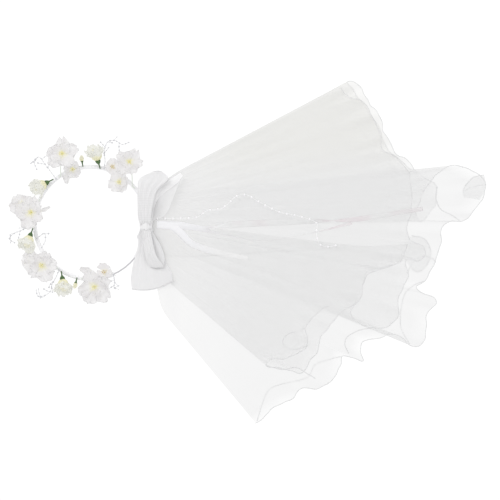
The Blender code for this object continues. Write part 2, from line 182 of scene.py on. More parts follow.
def distanceAlong(line, across=3):
    steps = np.linalg.norm(np.diff(line[:, :across], axis=0), axis=1)
    return np.concatenate([[0.0], np.cumsum(steps)])


def spacedEvenly(line, count, across=3):
    # the same line with its points at even distances; further columns go along
    far = distanceAlong(line, across)
    marks = np.linspace(0.0, far[-1], count)
    return np.column_stack([np.interp(marks, far, column) for column in line.T])


def headings(line):
    # which way the line runs at each point, seen from above
    ahead = np.gradient(line[:, :2], axis=0)
    return ahead / np.linalg.norm(ahead, axis=1)[:, None]


def easedStep(value):
    value = np.clip(value, 0.0, 1.0)
    return value * value * (3 - 2 * value)


def roundFrames(line):
    # two directions square to the line at each point, turned as little as possible
    along = np.gradient(line, axis=0)
    along /= np.linalg.norm(along, axis=1)[:, None]
    side = np.cross(along[0], (0, 0, 1.0))
    if np.linalg.norm(side) < 1e-3:
        side = np.array((1.0, 0, 0))
    sides = []
    for direction in along:
        side = side - direction * np.dot(side, direction)
        side = side / np.linalg.norm(side)
        sides.append(side)
    sides = np.array(sides)
    return sides, np.cross(sides, along)


class Pattern:
    # gathers patches of points and makes one piece of them
    def __init__(self):
        self.points = []
        self.faces = []
        self.corners = []
        self.finishes = []
        self.count = 0

    def patch(self, grid, size=(1.0, 1.0), ring=False, finish=0):
        # grid has rows, columns and 3 coordinates; with ring the last column joins the first
        grid = np.asarray(grid, float)
        rows, columns = grid.shape[:2]
        around = columns if ring else columns - 1
        first = self.count
        self.points.extend(map(tuple, grid.reshape(-1, 3)))
        self.count += rows * columns
        for row in range(rows - 1):
            for column in range(around):
                after = (column + 1) % columns
                low, high = first + row * columns, first + (row + 1) * columns
                self.faces.append((low + column, low + after, high + after, high + column))
                u0, u1 = column / around * size[0], (column + 1) / around * size[0]
                v0, v1 = row / (rows - 1) * size[1], (row + 1) / (rows - 1) * size[1]
                self.corners.extend(((u0, v0), (u1, v0), (u1, v1), (u0, v1)))
                self.finishes.append(finish)
        return first

    def lid(self, indices, finish=0):
        self.faces.append(tuple(indices))
        self.corners.extend([(0.0, 0.0)] * len(indices))
        self.finishes.append(finish)

    def closedRings(self, grid, size=(1.0, 1.0), finish=0, ends=2):
        # each row is a ring; the first one gets a lid and, with two ends, the last one too
        first = self.patch(grid, size, ring=True, finish=finish)
        rows, around = np.shape(grid)[:2]
        self.lid(range(first + around - 1, first - 1, -1), finish)
        if ends == 2:
            last = first + (rows - 1) * around
            self.lid(range(last, last + around), finish)

    def tube(self, line, radius, sides, finish=0):
        # a round rod along the line; radius is one number or one for each point
        line = np.asarray(line, float)
        wide = np.broadcast_to(radius, len(line))[:, None, None]
        across, over = roundFrames(line)
        angles = np.arange(sides) * tau / sides
        ring = np.cos(angles)[None, :, None] * across[:, None] + np.sin(angles)[None, :, None] * over[:, None]
        girth = float(np.max(radius)) * tau
        self.closedRings(line[:, None] + wide * ring, (girth, distanceAlong(line)[-1]), finish)

    def piece(self, name, *materials, flat=False):
        mesh = bpy.data.meshes.new(name)
        mesh.from_pydata(self.points, [], self.faces)
        layer = mesh.uv_layers.new(name="cut")
        layer.data.foreach_set("uv", np.array(self.corners, np.float32).ravel())
        for material in materials:
            mesh.materials.append(material)
        mesh.polygons.foreach_set("material_index", self.finishes)
        if not flat:
            mesh.shade_smooth()
        made = bpy.data.objects.new(name, mesh)
        bpy.context.scene.collection.objects.link(made)
        return made


def squared(part, power):
    # a sine or cosine pushed out towards a square's side
    return copysign(abs(part) ** power, part)


def thicken(piece, thickness, offset=-1.0):
    wall = piece.modifiers.new("Cloth thickness", "SOLIDIFY")
    wall.thickness = thickness
    wall.offset = offset


def middle(node):
    low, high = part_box(node)
    return (low + high) / 2


def clothOf(name, grid, size, finish, thickness, offset=0.0):
    shape = Pattern()
    shape.patch(grid, size)
    piece = shape.piece(name, finishes[finish])
    thicken(piece, thickness, offset)
    return piece


def letLightPast(*pieces):
    # cloth this thin darkens neither what lies under it nor itself
    for piece in pieces:
        piece.visible_shadow = False
        piece.visible_diffuse = False


def dress(piece, body, node):
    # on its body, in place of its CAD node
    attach(piece, body)
    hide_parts(node)
    return piece


def atHoop(angle, out, height):
    turn = radians(angle)
    reach = hoopRadius + out
    return (reach * cos(turn), reach * sin(turn), height)


# camera, light and floor

studio = {
    "cameraHeight": 2.6,
    "viewWidth": 0.7855,        # what the picture takes in at floor level
    "aimedAt": (0.2498, -0.0424),
    "skyLight": 0.95,
    "backdrop": 1.03,
    "lamp": 10.0,
    "lampSize": 0.9,
    "lampAt": (-0.75, 1.25, 1.7),
    "lampAimedAt": (0.2, 0, 0),
    "floorReach": 6,
    "floorZ": -0.0012,
    "floorGlow": 0.95,
    "floorCover": 0.5,          # half see-through, so that what hangs below it still shows
}


def makeStudio():
    scene = bpy.context.scene
    camera = bpy.data.objects.new("camera", bpy.data.cameras.new("camera"))
    camera.data.lens = camera.data.sensor_width * studio["cameraHeight"] / studio["viewWidth"]
    camera.location = (*studio["aimedAt"], studio["cameraHeight"])
    scene.collection.objects.link(camera)
    scene.camera = camera
    scene.view_settings.view_transform = "Standard"

    scene.world = bpy.data.worlds.new("studio")
    scene.world.use_nodes = True
    sky = Board(scene.world.node_tree)
    seen = sky.add("ShaderNodeLightPath").outlet("Is Camera Ray")
    strength = seen * (studio["backdrop"] - studio["skyLight"]) + studio["skyLight"]
    sky.feed(sky.tree.nodes["Background"].inputs["Strength"], strength)
    sky.feed(sky.tree.nodes["Background"].inputs["Color"], (1, 1, 1))

    lamp = bpy.data.objects.new("lamp", bpy.data.lights.new("lamp", "AREA"))
    lamp.data.energy = studio["lamp"]
    lamp.data.size = studio["lampSize"]
    lamp.location = studio["lampAt"]
    aim = Vector(studio["lampAimedAt"]) - lamp.location
    lamp.rotation_euler = aim.to_track_quat("-Z", "Y").to_euler()
    lamp.visible_camera = False
    scene.collection.objects.link(lamp)

    floor = Pattern()
    reach, z = studio["floorReach"], studio["floorZ"]
    floor.patch([[(-reach, -reach, z), (reach, -reach, z)], [(-reach, reach, z), (reach, reach, z)]])
    paper = Finish("paperFloor", **{
        "Base Color": (0.12, 0.12, 0.12), "Roughness": 1.0, "Specular IOR Level": 0.0,
        "Emission Color": (1, 1, 1), "Emission Strength": studio["floorGlow"],
    })
    paper.seeThrough(paper.shader.outputs[0], studio["floorCover"])
    floor.piece("floor", paper.material, flat=True)


makeStudio()
print("studio ready")


# finishes

def weave(finish, pitch):
    # fine threads both ways, 0 in the gaps and 1 on the crossings
    across, along = finish.halves(finish.cut)
    turns = tau / pitch
    return ((across * turns).wave() + (along * turns).wave()) * 0.5


organza = {
    "threadPitch": 0.0011,
    "cover": 0.44,                      # of one layer, before its threads and clouds add to it
    "glow": 0.12,                       # share of the light that comes through from behind
    "upperHalf": (0.758, 0.755, 0.734),
    "lowerHalf": (0.762, 0.762, 0.763),
    "paintedLightNearBow": (0.800, 0.798, 0.797),   # doubled by its gathers, and painted lighter: a painted highlight of the folds that also lifts the shade of the bow and ribbons
    "clouds": (0.745, 0.745, 0.748),
    "frillFrom": 0.425,                 # how far along the cloth its frilled edge starts
    "thinned": 0.55,                    # by how much that edge is pulled thin in places
}


def veilOrganza():
    cloth = Finish("veilOrganza", Roughness=0.6, **{"Specular IOR Level": 0.15})
    threads = weave(cloth, organza["threadPitch"])
    x, y = cloth.halves(cloth.place)
    _, along = cloth.halves(cloth.cut)
    upper = ((y - x * 0.094 - 0.030) * 18.0).held()
    # painted light: the cloth is painted lighter towards the bow, for the highlights on its gathers and
    # against the shade of the bow and ribbons
    paintedLightNearBow = ((0.235 - x) * 9.0).held()
    cloud = cloth.noise(14.0)
    drift = cloth.noise(4.5)
    patches = ((cloth.noise(9.0) - 0.45) * 6.0).held()
    thin = ((along - organza["frillFrom"]) * 40.0).held() * patches
    base = cloth.mixColour(upper, organza["lowerHalf"], organza["upperHalf"])
    base = cloth.mixColour(paintedLightNearBow, base, organza["paintedLightNearBow"])
    colour = cloth.mixColour(cloud * 0.25, base, organza["clouds"])
    cloth.set({"Base Color": colour, "Normal": cloth.bump(threads, 0.00006, 0.25)})
    cover = threads * 0.08 + cloud * 0.06 + drift * 0.10 + organza["cover"]
    cloth.letLightThrough(organza["glow"], colour, cover * (1 - thin * organza["thinned"]))
    return cloth.material


def hemThread():
    thread = Finish("hemThread", Roughness=0.5)
    across, along = thread.halves(thread.cut)
    turns = (along * 2600.0 + across * 1400.0).wave()
    # painted shade: the colour is darker in the grooves between the twists, where the bump is low
    colour = thread.mixColour(turns, (0.66, 0.66, 0.665), (0.77, 0.77, 0.775))
    thread.set({"Base Color": colour, "Normal": thread.bump(turns, 0.0001, 0.4)})
    thread.letLightThrough(0.15, colour, turns * 0.2 + 0.50)
    return thread.material


def bowOrganza(name, cover, behind, bright=0.985):
    cloth = Finish(name, Roughness=0.42, **{"Sheen Weight": 0.25, "Sheen Roughness": 0.4})
    light, dark = np.array((0.890, 0.887, 0.892)) * bright, np.array((0.862, 0.858, 0.866)) * bright
    threads = weave(cloth, 0.0014)
    streaks = cloth.noise(60.0)
    colour = cloth.mixColour(streaks, light, dark)
    cloth.set({"Base Color": colour, "Normal": cloth.bump(streaks, 0.0004, 0.25)})
    cloth.letLightThrough(behind, colour, threads * 0.08 + streaks * 0.06 + (cover - 0.07))
    return cloth.material


def satinRibbon(name, mauve, farTone):
    # solid near the bow, sheer and faintly mauve further out
    satin = Finish(name, Roughness=0.28, **{"Sheen Weight": 0.4, "Sheen Roughness": 0.3})
    _, along = satin.halves(satin.cut)
    far = ((along - 0.07) * 22.0).held()
    tint = ((satin.noise(22.0) - 0.40) * 4.0).held()
    ribs = (along * 5200.0).wave()
    sheer = satin.mixColour(tint * mauve, (farTone, farTone, farTone), (0.76, 0.69, 0.715))
    colour = satin.mixColour(far, (0.890, 0.888, 0.902), sheer)
    satin.set({
        "Base Color": colour,
        "Roughness": ribs * 0.06 + 0.26,
        "Normal": satin.bump(ribs, 0.00006, 0.4),
    })
    satin.letLightThrough(0.3, colour, 0.92 - far * 0.42)
    return satin.material


def satinWrap():
    satin = Finish("satinWrap", Roughness=0.38, **{"Sheen Weight": 0.3})
    across, along = satin.halves(satin.cut)
    fine = (across * 3000.0 + along * 5000.0).wave()
    wear = satin.noise(90.0)
    satin.set({
        "Base Color": satin.mixColour(wear, (0.93, 0.925, 0.935), (0.85, 0.845, 0.86)),
        "Roughness": wear * 0.2 + 0.3,
        "Normal": satin.bump(fine, 0.00008, 0.5),
    })
    return satin.material


def steelWire():
    steel = Finish("steelWire", Metallic=1.0)
    drawn = steel.noise(500.0, 4.0)
    steel.set({
        "Base Color": steel.mixColour(drawn, (0.66, 0.65, 0.67), (0.50, 0.49, 0.52)),
        "Roughness": drawn * 0.2 + 0.22,
        "Normal": steel.bump(drawn, 0.00005, 0.4),
    })
    return steel.material


def petalCloth(name, light, dark, heartColour, heartSize, veined=0.14):
    cloth = Finish(name, Roughness=0.72, **{"Sheen Weight": 0.2, "Specular IOR Level": 0.25})
    across, along = cloth.halves(cloth.cut)
    fray = cloth.noise(260.0)
    veins = (across * 62.0 + fray * 2.5).wave() * (1 - along * 0.4)
    cloud = cloth.noise(85.0, 3.0)
    base = cloth.mixColour((cloud * 2.2 - 0.6).held(), light, dark)
    base = cloth.mixColour(veins * veined, base, dark)
    heart = ((heartSize - along) * (1.0 / heartSize)).held()
    colour = cloth.mixColour(heart * 0.75, base, heartColour)
    cloth.set({
        "Base Color": colour,
        "Roughness": cloud * 0.2 + 0.6,
        "Normal": cloth.bump(veins + cloud * 0.5, 0.0002, 0.35),
    })
    cloth.letLightThrough(0.42, colour, 0.94 - along * 0.10)
    return cloth.material


def softColour(name, light, dark, scale, roughness):
    made = Finish(name)
    grain = made.noise(scale, 3.0)
    made.set({
        "Base Color": made.mixColour((grain * 2.0 - 0.5).held(), light, dark),
        "Roughness": grain * 0.2 + (roughness - 0.1),
        "Normal": made.bump(grain, 0.0002, 0.5),
    })
    return made.material


def pearlCoat(name):
    pearl = Finish(name, Roughness=0.22, **{"Coat Weight": 0.5, "Coat Roughness": 0.12})
    lustre = pearl.noise(220.0)
    pearl.set({
        "Base Color": pearl.mixColour(lustre, (0.97, 0.965, 0.97), (0.90, 0.90, 0.92)),
        "Roughness": lustre * 0.15 + 0.16,
    })
    return pearl.material


finishes = {
    "veil": veilOrganza(),
    "hem": hemThread(),
    "bow": bowOrganza("bowOrganza", 0.93, 0.15),
    # painted shade: the knot's copy of the bow organza is darker, standing in for the shade it sits in
    "knot": bowOrganza("knotOrganzaPaintedShade", 0.95, 0.1, 0.935),
    "band": bowOrganza("sheerBand", 0.62, 0.1),
    # painted highlight: a lighter copy of the bow organza for the upper layer of the sheer band's fold
    "bandFoldHighlight": bowOrganza("sheerFoldHighlight", 0.80, 0.1, 1.05),
    "ribbon": satinRibbon("satinRibbon", 1.0, 0.80),
    "shortRibbon": satinRibbon("shortSatinRibbon", 0.12, 0.885),
    "wrap": satinWrap(),
    "steel": steelWire(),
    "petal": petalCloth(
        "petalCloth", (0.905, 0.90, 0.90), (0.83, 0.815, 0.82), (0.92, 0.90, 0.66), 0.34, 0.20,
    ),
    "rose": petalCloth(
        "roseCloth", (0.925, 0.925, 0.895), (0.84, 0.84, 0.78), (0.93, 0.91, 0.70), 0.45, 0.12,
    ),
    "yellow": softColour("antherYellow", (0.95, 0.87, 0.12), (0.88, 0.74, 0.06), 900.0, 0.6),
    "brown": softColour("antherBrown", (0.72, 0.36, 0.04), (0.42, 0.18, 0.03), 900.0, 0.6),
    "filament": softColour("filamentCream", (0.90, 0.86, 0.52), (0.80, 0.76, 0.45), 500.0, 0.5),
    "tape": softColour("stemTape", (0.80, 0.84, 0.78), (0.66, 0.72, 0.62), 700.0, 0.7),
    "bud": petalCloth("budCloth", (0.93, 0.92, 0.83), (0.88, 0.86, 0.70), (0.92, 0.89, 0.58), 0.55, 0.10),
    "calyx": softColour("calyxGreen", (0.10, 0.19, 0.06), (0.03, 0.08, 0.02), 300.0, 0.6),
    "sprayWire": softColour("sprayWire", (0.66, 0.66, 0.68), (0.50, 0.50, 0.53), 400.0, 0.3),
    "pearl": pearlCoat("pearlCoat"),
    "thread": softColour("strandThread", (0.95, 0.95, 0.96), (0.86, 0.86, 0.87), 900.0, 0.5),
    "pip": softColour("sprayPip", (0.74, 0.74, 0.76), (0.50, 0.50, 0.53), 420.0, 0.3),
}
# the CAD pieces that show as they are
bareNodes = {"hoop_wire": "steel", **{f"blossom_{number:02d}_stem": "tape" for number in (1, 4, 6, 8, 10)}}
for cadNode, cadFinish in bareNodes.items():
    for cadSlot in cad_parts[cadNode].material_slots:
        cadSlot.material = finishes[cadFinish]
print("finishes ready")


# what geometry nodes grow along lines: beaded wires and stamens

def growthTree(name, sides, amounts, putKnobs):
    # a rod along each line of the source, with the knobs that putKnobs sets on it
    tree = bpy.data.node_groups.new(name, "GeometryNodeTree")
    kinds = {"Line": "Geometry", **{amount: "Float" for amount in ("Rod radius", "Knob radius", *amounts)}}
    kinds.update({"Rod finish": "Material", "Knob finish": "Material"})
    for socket, kind in kinds.items():
        tree.interface.new_socket(socket, in_out="INPUT", socket_type=f"NodeSocket{kind}")
    tree.interface.new_socket("Grown", in_out="OUTPUT", socket_type="NodeSocketGeometry")
    board = Board(tree)
    given = board.add("NodeGroupInput")
    line = board.grow("MeshToCurve", Mesh=given)
    ring = board.grow("CurvePrimitiveCircle", Resolution=sides, Radius=given.outlet("Rod radius"))
    rod = board.grow("CurveToMesh", Curve=line, Profile_Curve=ring, Fill_Caps=True)
    rod = board.grow("SetMaterial", Geometry=rod, Material=given.outlet("Rod finish"))
    knobs = board.grow("RealizeInstances", Geometry=putKnobs(board, given, line))
    knobs = board.grow("SetMaterial", Geometry=knobs, Material=given.outlet("Knob finish"))
    both = board.grow("JoinGeometry")
    for part in (knobs, rod):
        tree.links.new(part.socket, both.node.inputs[0])
    board.add("NodeGroupOutput", {}, {0: both})
    return tree


def evenBeads(board, given, line):
    marks = board.add(
        "GeometryNodeCurveToPoints", {"mode": "LENGTH"}, {"Curve": line, "Length": given.outlet("Spacing")},
    )
    bead = board.grow("MeshUVSphere", Segments=10, Rings=7, Radius=given.outlet("Knob radius"))
    bead = board.grow("SetShadeSmooth", Geometry=bead)
    sizes = {2: given.outlet("Smallest"), 3: 1.0, "Seed": 7}
    size = board.add("FunctionNodeRandomValue", {"data_type": "FLOAT"}, sizes, outlet=1)
    return board.grow("InstanceOnPoints", Points=marks, Instance=bead, Scale=size)


def endAnthers(board, given, line):
    ends = board.grow("CurveEndpointSelection", Start_Size=0, End_Size=1)
    anther = board.grow("MeshIcoSphere", Radius=given.outlet("Knob radius"), Subdivisions=2)
    anther = board.grow("SetShadeSmooth", Geometry=anther)
    sizes = {0: (0.8, 0.8, 1.0), 1: (1.2, 1.2, 1.7), "Seed": 3}
    size = board.add("FunctionNodeRandomValue", {"data_type": "FLOAT_VECTOR"}, sizes)
    return board.grow("InstanceOnPoints", Points=line, Selection=ends, Instance=anther, Scale=size)


def grown(name, tree, mesh, **amounts):
    # runs a geometry tree on a mesh and keeps the result as a plain mesh
    source = bpy.data.objects.new(f"{name}_source", mesh)
    bpy.context.scene.collection.objects.link(source)
    growth = source.modifiers.new("Growth", "NODES")
    growth.node_group = tree
    sockets = {item.name: item.identifier for item in tree.interface.items_tree if item.in_out == "INPUT"}
    for key, amount in amounts.items():
        growth[sockets[key.replace("_", " ")]] = amount
    view = bpy.context.evaluated_depsgraph_get()
    made = bpy.data.meshes.new_from_object(source.evaluated_get(view))
    bpy.data.objects.remove(source)
    made.name = name
    piece = bpy.data.objects.new(name, made)
    bpy.context.scene.collection.objects.link(piece)
    return piece


def lineMesh(*lines):
    points, edges = [], []
    for line in lines:
        first = len(points)
        points.extend(tuple(p) for p in line)
        edges.extend((first + i, first + i + 1) for i in range(len(line) - 1))
    mesh = bpy.data.meshes.new("line")
    mesh.from_pydata(points, edges, [])
    return mesh


strand = {
    "beadRadius": 0.0016,
    "threadRadius": 0.00017,
    "spacing": 0.0118,
    "smallest": 0.92,           # share of a full bead
    "lift": 0.0012,
    "overRibbons": 0.0039,
    # distance from where the ribbons start, Y, over the ribbons?
    "route": (
        (0.0006, 0.0066, 0), (0.010, 0.0066, 0), (0.022, 0.0067, 0), (0.040, 0.0070, 0), (0.060, 0.0082, 0),
        (0.069, 0.0125, 0), (0.078, 0.0189, 0), (0.090, 0.0207, 0), (0.101, 0.0225, 0), (0.111, 0.0298, 0),
        (0.123, 0.0408, 0), (0.136, 0.0440, 0), (0.147, 0.0408, 0), (0.156, 0.0346, 0), (0.178, 0.0230, 0),
        (0.192, 0.0165, 0), (0.212, 0.0125, 1), (0.230, 0.0080, 1), (0.242, 0.0040, 1), (0.250, -0.0020, 1),
        (0.249, -0.0120, 1), (0.250, -0.0230, 1), (0.255, -0.0340, 0), (0.266, -0.0372, 0),
        (0.279, -0.0350, 0),
    ),
}
ribbonStart = hoopRadius + 0.0165       # where the ribbons come out of the bow
beadedWire = growthTree("beadedWire", 6, ("Spacing", "Smallest"), evenBeads)
stamenTuft = growthTree("stamenTuft", 5, (), endAnthers)


def makeStrand():
    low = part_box("pearl_strand")[0].z + strand["lift"]
    route = [(ribbonStart + x, y, low + over * strand["overRibbons"]) for x, y, over in strand["route"]]
    line = spacedEvenly(throughPoints(route, 8), 200)
    piece = grown(
        "pearl_strand_beads", beadedWire, lineMesh(line),
        Rod_radius=strand["threadRadius"], Rod_finish=finishes["thread"],
        Knob_radius=strand["beadRadius"], Knob_finish=finishes["pearl"],
        Spacing=strand["spacing"], Smallest=strand["smallest"],
    )
    dress(piece, "ribbons", "pearl_strand")


makeStrand()


# hoop wrap: satin wound slantwise round the wire, each turn lapping the last

wrap = {
    "turns": 92,
    "stepsInTurn": 9,
    "around": 20,
    "lap": 0.00042,
    "groove": 0.0002,           # beside the edge of each turn
    "slant": 1.0,               # turns gained on the way round the wire
    "from": -38.0,
    "to": 295.0,
    "width": 0.0070,
    "roundness": 0.8,           # 1 is an oval, less is flatter
}


def makeWrap():
    steps, around = wrap["turns"] * wrap["stepsInTurn"], wrap["around"]
    grid = np.empty((steps + 1, around, 3))
    for i in range(steps + 1):
        share = i / steps
        angle = radians(wrap["from"] + (wrap["to"] - wrap["from"]) * share)
        for j in range(around):
            a = tau * j / around
            lapped = (share * wrap["turns"] + wrap["slant"] * j / around) % 1.0
            groove = wrap["groove"] * exp(-((lapped - 0.02) / 0.06) ** 2)
            swell = wrap["lap"] * (lapped - 0.5) - groove - wrap["lap"] / 2
            out = (wrap["width"] / 2 + swell) * squared(cos(a), wrap["roundness"])
            up = (wrapTop / 2 + swell) * squared(sin(a), wrap["roundness"])
            reach = hoopRadius + out
            grid[i, j] = (reach * cos(angle), reach * sin(angle), wrapTop / 2 + up)
    shape = Pattern()
    shape.closedRings(grid[:, ::-1], (0.022, 0.51))
    dress(shape.piece("hoop_wrap_wound", finishes["wrap"]), "crown", "hoop_wrap")


makeWrap()
print("hoop wrapped")


# blossoms: each one a ring of broad ruffled petals with a few smaller ones over it

blossom = {
    "petalRows": 12,
    "petalColumns": 14,
    "ruffle": 0.055,            # share of the petal's length
    "thickness": 0.0002,
    "fullness": 1.05,
    "petalWidth": (0.66, 0.84),     # least and most share of the room that a petal has
    "slimmest": 0.72,           # a petal's half width is at most this share of its length
    "tilt": 12.0,               # outwards, of the blossoms that have a stem
    "stamens": 8,
    "stamenLength": (0.0055, 0.0080),
    "stamenTurn": 2.39996,      # radians from one to the next, as in a sunflower
    "filamentRadius": 0.00016,
    "antherRadius": 0.00058,
    "oddPetals": 0.22,          # how unlike each other the petals of a blossom are
    # number: petals, share of its CAD radius, turn of the first petal in degrees, petals in the upper ring,
    # finish of its anthers
    "kinds": {
        1: (5, 1.12, 20, 3, "yellow"), 2: (4, 0.86, 60, 2, "yellow"), 3: (4, 1.10, 10, 0, "brown"),
        4: (5, 1.12, 75, 3, "yellow"), 5: (4, 1.25, 215, 2, "yellow"), 6: (5, 1.10, 35, 2, "yellow"),
        7: (4, 1.15, 120, 2, "yellow"), 8: (5, 1.10, 5, 3, "yellow"), 9: (4, 1.15, 170, 2, "yellow"),
        10: (5, 1.08, 250, 3, "yellow"), 11: (3, 1.30, 90, 0, "brown"),
    },
    # petals that hang loose inside the hoop: root, tip, half width
    "loose": {
        2: (((-0.0393, 0.0833), (-0.0410, 0.0610), 0.0060),),
        6: (((-0.0833, 0.0157), (-0.0636, 0.0275), 0.0034),),
        10: (((0.0063, -0.0801), (-0.0173, -0.0691), 0.0066),),
    },
}


def petalGrid(length, width, rise, chance):
    # one petal lying along +X from the middle, cupped, with a frilled outer edge
    rows, columns = blossom["petalRows"], blossom["petalColumns"]
    phase, second = chance.uniform(0, tau), chance.uniform(0, tau)
    lean = chance.uniform(-0.14, 0.14)
    curl = chance.uniform(-0.30, 0.30)
    twist = chance.uniform(-0.22, 0.22)
    notch = chance.uniform(0.05, 0.16)
    grid = np.empty((rows + 1, columns + 1, 3))
    for i in range(rows + 1):
        v = 0.03 + 0.97 * i / rows
        wide = width * (0.16 + 0.84 * sin(pi * 0.5 * min(1.0, v / 0.74)) ** 1.25)
        for j in range(columns + 1):
            u = 2 * j / columns - 1
            # the outer edge is round, with a notch in the middle and small frills
            edge = 1 - 0.50 * abs(u) ** 2.6 - notch * exp(-(u / 0.16) ** 2)
            edge += 0.030 * sin(9.3 * u + phase) + 0.018 * sin(13 * u + second)
            x = length * v * (1 - (1 - edge) * v ** 1.5)
            y = wide * (u - 0.16 * u * max(0.0, v - 0.75) * 4) + lean * length * v * v
            wave = sin(2.6 * pi * u + phase) + 0.6 * sin(4.4 * pi * u + second)
            z = length * tan(radians(rise)) * v * (1 - 0.35 * v)
            z += length * (blossom["ruffle"] * v ** 2.2 * wave + curl * 0.35 * max(0.0, v - 0.6) ** 2)
            z += length * (twist * u * v * 0.35 + 0.10 * u * u * v)
            grid[i, j] = (x, y, z)
    return grid


def turned(grid, matrix):
    spots = grid.reshape(-1, 3)
    moved = spots @ np.array(matrix.to_3x3()).T + np.array(matrix.translation)
    return moved.reshape(grid.shape)


def makeStamens(name, place, node, finish, chance):
    lines = []
    for number in range(blossom["stamens"]):
        around = number * blossom["stamenTurn"]
        lean = 0.10 + 0.42 * sqrt((number + 0.5) / blossom["stamens"])
        long = chance.uniform(*blossom["stamenLength"])
        line = []
        for step in range(4):
            out = long * sin(lean) * (step / 3) ** 1.4
            up = 0.0004 + long * cos(lean) * step / 3
            line.append(place @ Vector((out * cos(around), out * sin(around), up)))
        lines.append(line)
    piece = grown(
        name, stamenTuft, lineMesh(*lines),
        Rod_radius=blossom["filamentRadius"], Rod_finish=finishes["filament"],
        Knob_radius=blossom["antherRadius"], Knob_finish=finishes[finish],
    )
    dress(piece, "crown", node)


def makeBlossom(number):
    node = f"blossom_{number:02d}"
    petals, grownBy, firstTurn, upper, anthers = blossom["kinds"][number]
    low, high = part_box(f"{node}_petals")
    heart = middle(f"{node}_stamens")
    tilt = radians(blossom["tilt"] if f"{node}_stem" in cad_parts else 0.0)
    outward = atan2(heart.y, heart.x)
    turn = Matrix.Rotation(outward, 4, "Z") @ Matrix.Rotation(tilt, 4, "Y")
    place = Matrix.Translation(heart) @ turn @ Matrix.Translation((0, 0, -0.0029))
    radius = max(high.x - low.x, high.y - low.y) / 2 * grownBy * blossom["fullness"]
    chance = random.Random(140 + number)
    odd = blossom["oddPetals"]
    shape = Pattern()
    # petals, reach, rise in degrees, shift by a share of a petal, lift
    for count, reach, rise, shift, lift in ((petals, 1.0, 10.0, 0.0, 0.0), (upper, 0.66, 30.0, 0.5, 0.0006)):
        for petal in range(count):
            length = radius * reach * chance.uniform(1 - odd, 1.04)
            width = length * tan(pi / max(petals, 4)) * chance.uniform(*blossom["petalWidth"])
            width = min(width, blossom["slimmest"] * length)
            grid = petalGrid(length, width, rise + chance.uniform(-6, 8), chance)
            grid[:, :, 2] += lift + 0.00025 * petal
            spin = radians(firstTurn) - outward + (petal + shift) / petals * tau
            spin += chance.uniform(-odd, odd)
            shape.patch(turned(grid, place @ Matrix.Rotation(spin, 4, "Z")))
    for (rootX, rootY), (tipX, tipY), half in blossom["loose"].get(number, ()):
        away = Vector((tipX - rootX, tipY - rootY, 0.0))
        grid = petalGrid(away.length, half, 5.0, random.Random(70 + number))
        lie = Matrix.Rotation(atan2(away.y, away.x), 4, "Z")
        shape.patch(turned(grid, Matrix.Translation((rootX, rootY, 0.0045)) @ lie))
    # a small cup closes the middle under the stamens
    cup = np.array([[
        (r * cos(a), r * sin(a), 0.0002 + 0.0012 * (r / 0.003) ** 2)
        for a in (tau * k / 14 for k in range(14))
    ] for r in (0.0002, 0.0012, 0.0022, 0.0032)])
    shape.closedRings(turned(cup, place), ends=1)
    piece = shape.piece(f"{node}_bloom", finishes["petal"])
    thicken(piece, blossom["thickness"])
    piece.visible_diffuse = False
    dress(piece, "crown", f"{node}_petals")
    makeStamens(f"{node}_stamen_tuft", place, f"{node}_stamens", anthers, chance)


for blossomNumber in range(1, 12):
    makeBlossom(blossomNumber)
print("blossoms made")


# rosebuds, small buds and their calyxes

rosebud = {
    "furled": 5,
    "open": 6,
    "radius": 0.0086,           # of the furled middle
    "length": 0.0195,
    "openRadius": 0.0150,       # out to the tips of the open petals
    "wrapAround": 205.0,        # degrees, of one furled petal
    "openWidth": 0.56,          # half width of an open petal as a share of its reach
    "openLean": (44, 66),       # degrees
}
calyxCup = {
    "leaves": 5,
    "leafHalfWidth": 0.0022,
    "leafLength": 0.0115,
    "around": 12,
    # radius and height of the rings below the leaves
    "outline": (
        (0.0005, -0.0004), (0.0030, -0.0004), (0.0040, -0.0008), (0.0042, -0.0026), (0.0034, -0.0048),
        (0.0018, -0.0066), (0.0010, -0.0090), (0.0009, -0.0150),
    ),
}
smallBud = {
    "radius": 0.0034,
    "length": 0.0098,
    "rise": 0.07,               # how much it points up, for each length outwards
    "stemHeights": (-0.0088, -0.005, -0.002, 0.0002),
    "stemRadii": (0.0008, 0.0009, 0.0013, 0.0026),
}


def axisFrame(base, direction):
    turn = direction.to_track_quat("Z", "Y").to_matrix().to_4x4()
    return Matrix.Translation(base) @ turn


def budRadiusAt(share):
    # a rosebud's outline from its base, 0, to its tip, 1
    return sin(pi * (0.10 + 0.78 * share) ** 0.85) ** 0.7


